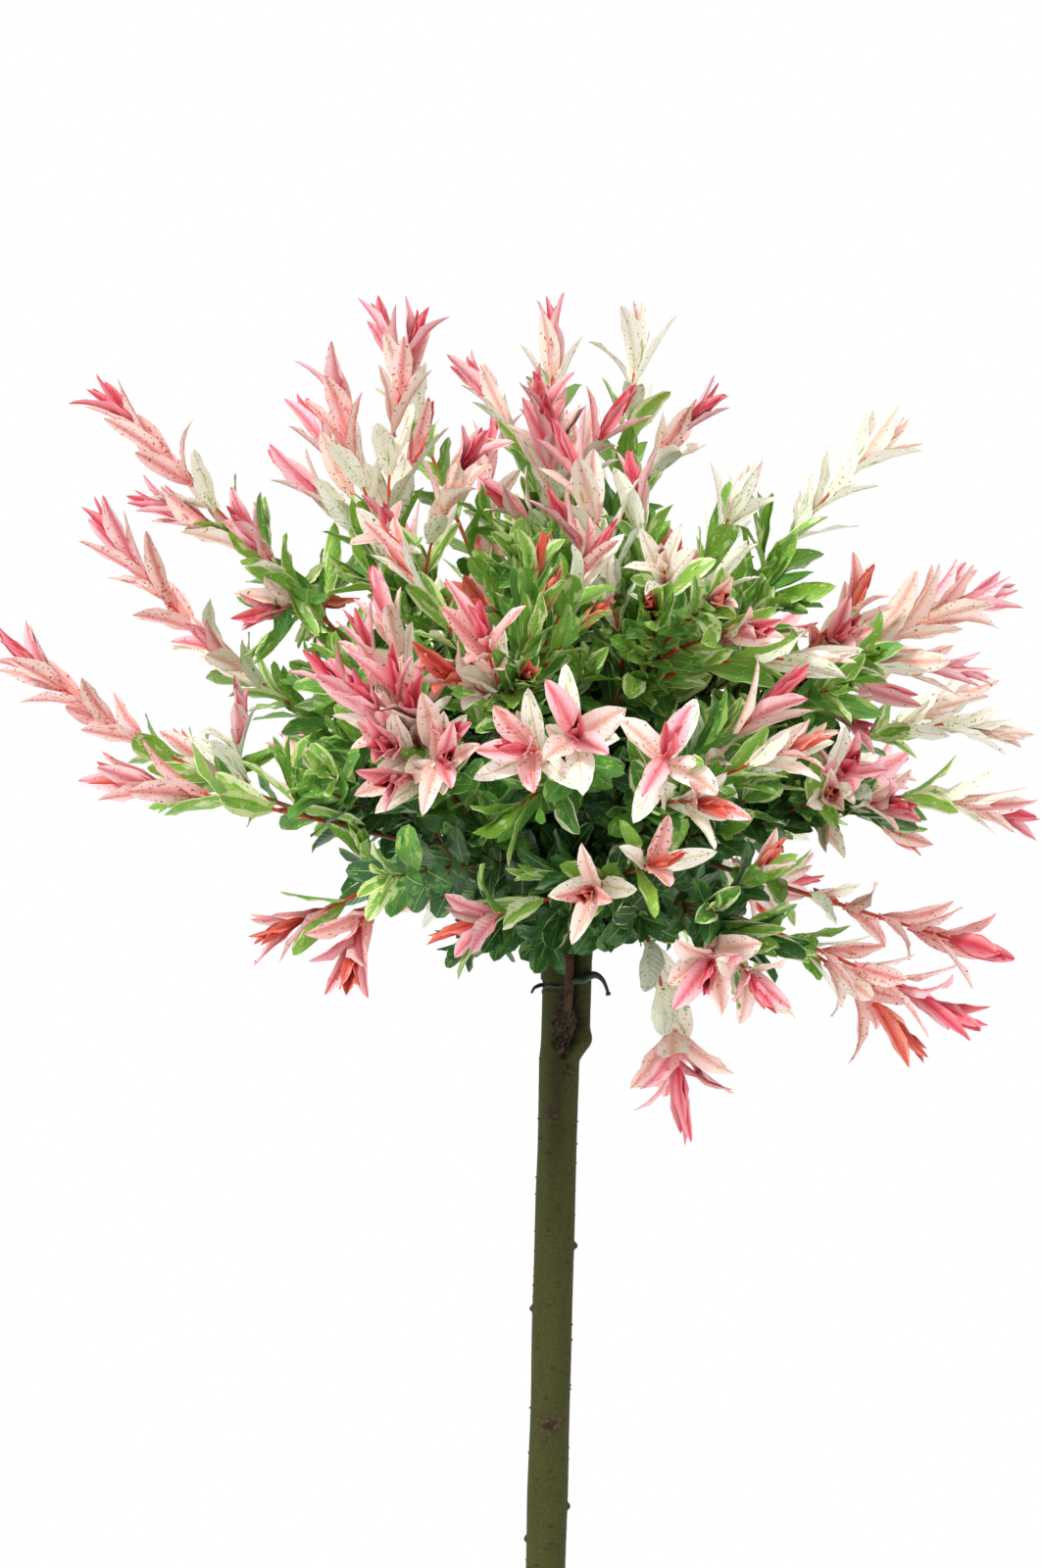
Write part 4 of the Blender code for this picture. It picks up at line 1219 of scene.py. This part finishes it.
def make_graft(brown, green, tie):
    """The two grafted scions that join the trunk at its top, and the tie round them."""
    line = spline([surface_point(*row) for row in FRONT_SCION], 70)
    radii = [0.0029 - 0.0004 * i / 69 for i in range(70)]
    make_piece("front_scion", rough_tube(line, radii, 18, 0.0006), brown)
    line = spline([surface_point(*row) for row in SIDE_SCION], 40)
    make_piece("side_scion", rough_tube(line, [SCION_RADIUS] * 40, 14, 0.0003), green)
    ring = []
    for i in range(2, 25, 4):
        ring.append(surface_point(TIE_HEIGHT + 0.0006 * math.sin(i * 0.9), 190 + 96 * i / 24, 0.0003))
    radii = [0.0007 + 0.0003 * smooth(i / 12) for i in range(TIE_RINGS)]
    rope = rough_tube(spline([*TIE_HOOK, *ring], TIE_RINGS), radii, 8, 0.0003)
    radii = [0.0022 - 0.0013 * smooth((i - 16) / 34) for i in range(TIE_RINGS)]
    radii[-len(TIE_KNOB):] = TIE_KNOB
    make_piece("tie", join_parts([rope, tube(spline(TIE_END, TIE_RINGS), radii, 12)]), tie)


class Nodes:
    """The node tree of one new material. Its methods add nodes and return their outputs."""

    def __init__(self, name, roughness, specular):
        self.material = bpy.data.materials.new(name)
        self.material.use_nodes = True
        self.tree = self.material.node_tree
        self.shader = self.tree.nodes["Principled BSDF"]
        self.feed(self.shader.inputs["Roughness"], roughness)
        self.feed(self.shader.inputs["Specular IOR Level"], specular)

    def feed(self, socket, value):
        if isinstance(value, bpy.types.NodeSocket):
            self.tree.links.new(value, socket)
        else:
            socket.default_value = value

    def add(self, kind, inputs, **settings):
        node = self.tree.nodes.new("ShaderNode" + kind)
        for setting, value in settings.items():
            setattr(node, setting, value)
        for socket, value in inputs.items():
            self.feed(node.inputs[socket], value)
        return node.outputs

    def split(self, vector):
        return self.add("SeparateXYZ", {0: vector})

    def place(self):
        """The places kept with the mesh: across a leaf, along it and its own number, or a bark's shares."""
        return self.add("Attribute", {}, attribute_name="place")["Vector"]

    def position(self):
        return self.add("TexCoord", {})["Object"]

    def mix(self, factor, first, second):
        return self.add("Mix", {0: factor, 6: first, 7: second}, data_type="RGBA")[2]

    def work(self, operation, first, second=0.0):
        return self.add("Math", {0: first, 1: second}, operation=operation)[0]

    def times(self, first, second):
        return self.work("MULTIPLY", first, second)

    def step(self, value, low, high):
        """0 below low and 1 above high, with a smooth change between."""
        inputs = {"Value": value, "From Min": low, "From Max": high}
        return self.add("MapRange", inputs, interpolation_type="SMOOTHSTEP")["Result"]

    def noise(self, vector, stretch, seed, scale, detail):
        inputs = {"Vector": vector, "Scale": stretch, "Location": (seed, seed * 2, seed * 3)}
        mapped = self.add("Mapping", inputs)["Vector"]
        return self.add("TexNoise", {"Vector": mapped, "Scale": scale, "Detail": detail})["Fac"]

    def cloud(self, scale, detail=2.0, stretch=(1, 1, 1), seed=0.0):
        """Noise fixed to the object, from 0 to 1, with scale in waves per metre."""
        return self.noise(self.position(), stretch, seed, scale, detail)

    def leaf_cloud(self, across, along, seed, detail=2.0):
        """Noise drawn out along each leaf and different on every leaf, from 0 to 1."""
        return self.noise(self.place(), (across, along, 60), seed, 1.0, detail)

    def tint(self, colour, share, strength, code):
        """The colour with another laid over it, at a share of its strength."""
        return self.mix(self.times(share, strength), colour, srgb(code))

    def finish(self, colour, height, strength, distance):
        """The material in this colour, with a relief of this height, strength and depth in metres."""
        raised = self.add("Bump", {"Height": height, "Strength": strength, "Distance": distance})
        self.feed(self.shader.inputs["Base Color"], colour)
        self.feed(self.shader.inputs["Normal"], raised["Normal"])
        return self.material


def leaf_material(name):
    """A leaf's two edge colours, streaks, patches, strong middle and specks, with raised veins."""
    first, second, middle, middle_width, middle_share = LEAF_COLOURS[name][:5]
    speck, speck_share, streak, streak_share = LEAF_COLOURS[name][5:]
    nodes = Nodes(name, 0.40, 0.45)
    seed = sum(ord(letter) for letter in name) % 17
    signed, place, own = nodes.split(nodes.place())
    across = nodes.work("ABSOLUTE", signed)
    colour = nodes.mix(own, srgb(first), srgb(second))
    streaks = nodes.step(nodes.leaf_cloud(2.6, 3.2, seed), 0.66 - 0.20 * streak_share, 0.70)
    colour = nodes.tint(colour, streaks, 0.8, streak)
    if name in PATCHES:
        patchy = nodes.work("ADD", nodes.leaf_cloud(1.7, 3.0, seed + 5, 3.0), nodes.times(across, 0.06))
        colour = nodes.tint(colour, nodes.step(patchy, 0.60, 0.66), 0.8, PATCHES[name])
    rooted = nodes.step(place, 0.50, 0.0)
    centred = nodes.work("MAXIMUM", nodes.step(across, middle_width, 0.0), nodes.times(rooted, 0.8))
    colour = nodes.tint(colour, centred, middle_share, middle)
    if speck_share:
        limit = nodes.work("SUBTRACT", 0.70 - 0.08 * speck_share, nodes.times(rooted, 0.04))
        over = nodes.work("SUBTRACT", nodes.cloud(620, 1.5, seed=seed + 3), limit)
        colour = nodes.tint(colour, nodes.step(over, 0.0, 0.03), 0.9, speck)
    slant = nodes.work("SUBTRACT", place, nodes.times(across, 0.22))
    veins = nodes.times(nodes.work("SINE", nodes.times(slant, 62.0)), 0.25)
    return nodes.finish(colour, nodes.work("ADD", veins, nodes.cloud(260)), 0.35, 0.0006)


def plain_bark(name):
    """Bark of three colours in a fine mottle."""
    first, second, third, scale, roughness, strength = BARKS[name]
    nodes = Nodes(name, roughness, 0.25)
    colour = nodes.mix(nodes.step(nodes.cloud(scale, 4.0), 0.35, 0.65), srgb(first), srgb(second))
    colour = nodes.mix(nodes.step(nodes.cloud(scale * 5, 3.0, seed=5.0), 0.50, 0.72), colour, srgb(third))
    return nodes.finish(colour, nodes.cloud(scale * 6, 4.0, seed=2.0), strength, 0.0006)


def trunk_bark():
    """Smooth olive bark with fine grain and faint blotches, brown and dark where the relief says so.
    Painted shade darkens it towards the top and down the front, under the head.
    """
    nodes = Nodes("olive_bark", 0.7, 0.15)
    brown_share, dark_and_shade_share, _ = nodes.split(nodes.place())
    height = nodes.split(nodes.position())[2]
    # Painted shade: the base colour darkens from 0.52 m to 0.80 m up, under the head.
    colour = nodes.mix(nodes.step(height, 0.52, 0.80), srgb(0x41431D), srgb(0x3A3B18))
    blotches = nodes.step(nodes.cloud(60, 3.0, (1, 1, 0.5)), 0.40, 0.70)
    colour = nodes.tint(colour, blotches, 0.4, 0x343618)
    grain = nodes.step(nodes.cloud(1300, 3.0, (1, 1, 0.6), 4.0), 0.50, 0.75)
    colour = nodes.tint(colour, grain, 0.4, 0x5C5E32)
    fine = nodes.step(nodes.cloud(1100, 2.0, (1, 1, 0.8), 8.0), 0.56, 0.70)
    colour = nodes.tint(colour, fine, 0.6, 0x1E2010)
    mottle = nodes.step(nodes.cloud(420, 3.0, seed=6.0), 0.44, 0.62)
    colour = nodes.mix(brown_share, colour, nodes.mix(mottle, srgb(0x34261A), srgb(0x56442E)))
    # The dark share goes to near black: the knots, the graft's dark places and the painted shadow down the
    # front.
    colour = nodes.tint(colour, dark_and_shade_share, 0.92, 0x0E0B07)
    return nodes.finish(colour, nodes.cloud(900, 3.0, (1, 1, 0.6), 2.0), 0.4, 0.0004)


def main():
    boughs = bough_curves()
    leaders = leading_shoots(boughs)
    rng = own_random("twigs")
    shoots = leaders + side_shoots(leaders) + body_twigs(leaders, rng) + inner_twigs(boughs, rng)
    leaves = {kind: [] for kind in LEAF_SHAPES}
    for shoot in shoots:
        dress(shoot, leaves)
    parts, margins, ribs = make_leaves(leaves, np.random.default_rng(SEED))

    greens = [row[0].replace("bough", "green") for row in BOUGHS]
    replaced = {"pink": [row[0] for row in SPRAYS], "green": greens}
    for kind, part in parts.items():
        make_piece(kind + "_leaves", part, leaf_material(kind), replaced.get(kind, ()))
    make_piece("leaf_margins", join_parts(margins), leaf_material("leaf_margin"))
    for colour in ("green", "pink", "pale"):
        make_piece(colour + "_ribs", join_parts(ribs[colour]), plain_bark(colour + "_rib"))
    for name, stems in zip(("young_stem", "old_stem"), shoot_tubes(shoots)):
        make_piece(name + "s", join_parts(stems), plain_bark(name))

    make_trunk(trunk_bark())
    make_boughs(boughs, plain_bark("bough_bark"))
    make_lenticels(plain_bark("lenticel"), rng)
    make_graft(plain_bark("scion_brown"), plain_bark("scion_green"), plain_bark("tie_green"))


def placed(name, data, place=(0, 0, 0), turn=(0, 0, 0)):
    """A new object in the scene, turned by three angles in degrees."""
    obj = bpy.data.objects.new(name, data)
    obj.location = place
    obj.rotation_euler = [math.radians(angle) for angle in turn]
    bpy.context.scene.collection.objects.link(obj)
    return obj


def make_stage():
    """Pale floor, white surroundings, soft sun and the photo's camera."""
    mesh = bpy.data.meshes.new("floor")
    turns = np.linspace(0, 2 * math.pi, FLOOR_SIDES + 1)[:-1]
    rim = [(FLOOR_RADIUS * math.cos(a), FLOOR_RADIUS * math.sin(a), FLOOR_HEIGHT) for a in turns]
    mesh.from_pydata(rim, [], [tuple(range(FLOOR_SIDES))])
    nodes = Nodes("floor", 0.9, 0.1)
    nodes.feed(nodes.shader.inputs["Base Color"], FLOOR_COLOUR)
    mesh.materials.append(nodes.material)
    floor = placed("floor", mesh)

    world = bpy.data.worlds.new("surroundings")
    world.use_nodes = True
    world.node_tree.nodes["Background"].inputs["Color"].default_value = (1, 1, 1, 1)
    world.node_tree.nodes["Background"].inputs["Strength"].default_value = 1.0
    bpy.context.scene.world = world
    sun = bpy.data.lights.new("sun", "SUN")
    sun.energy = SUN_ENERGY
    sun.angle = SUN_WIDTH
    placed("sun", sun, turn=SUN_TURN)

    camera = bpy.data.cameras.new("camera")
    camera.sensor_fit = "VERTICAL"
    camera.sensor_height = SENSOR_HEIGHT
    camera.lens = LENS
    bpy.context.scene.camera = placed("camera", camera, CAMERA_PLACE, (90, 0, 0))
    bpy.context.scene.view_settings.view_transform = "Standard"


main()
make_stage()
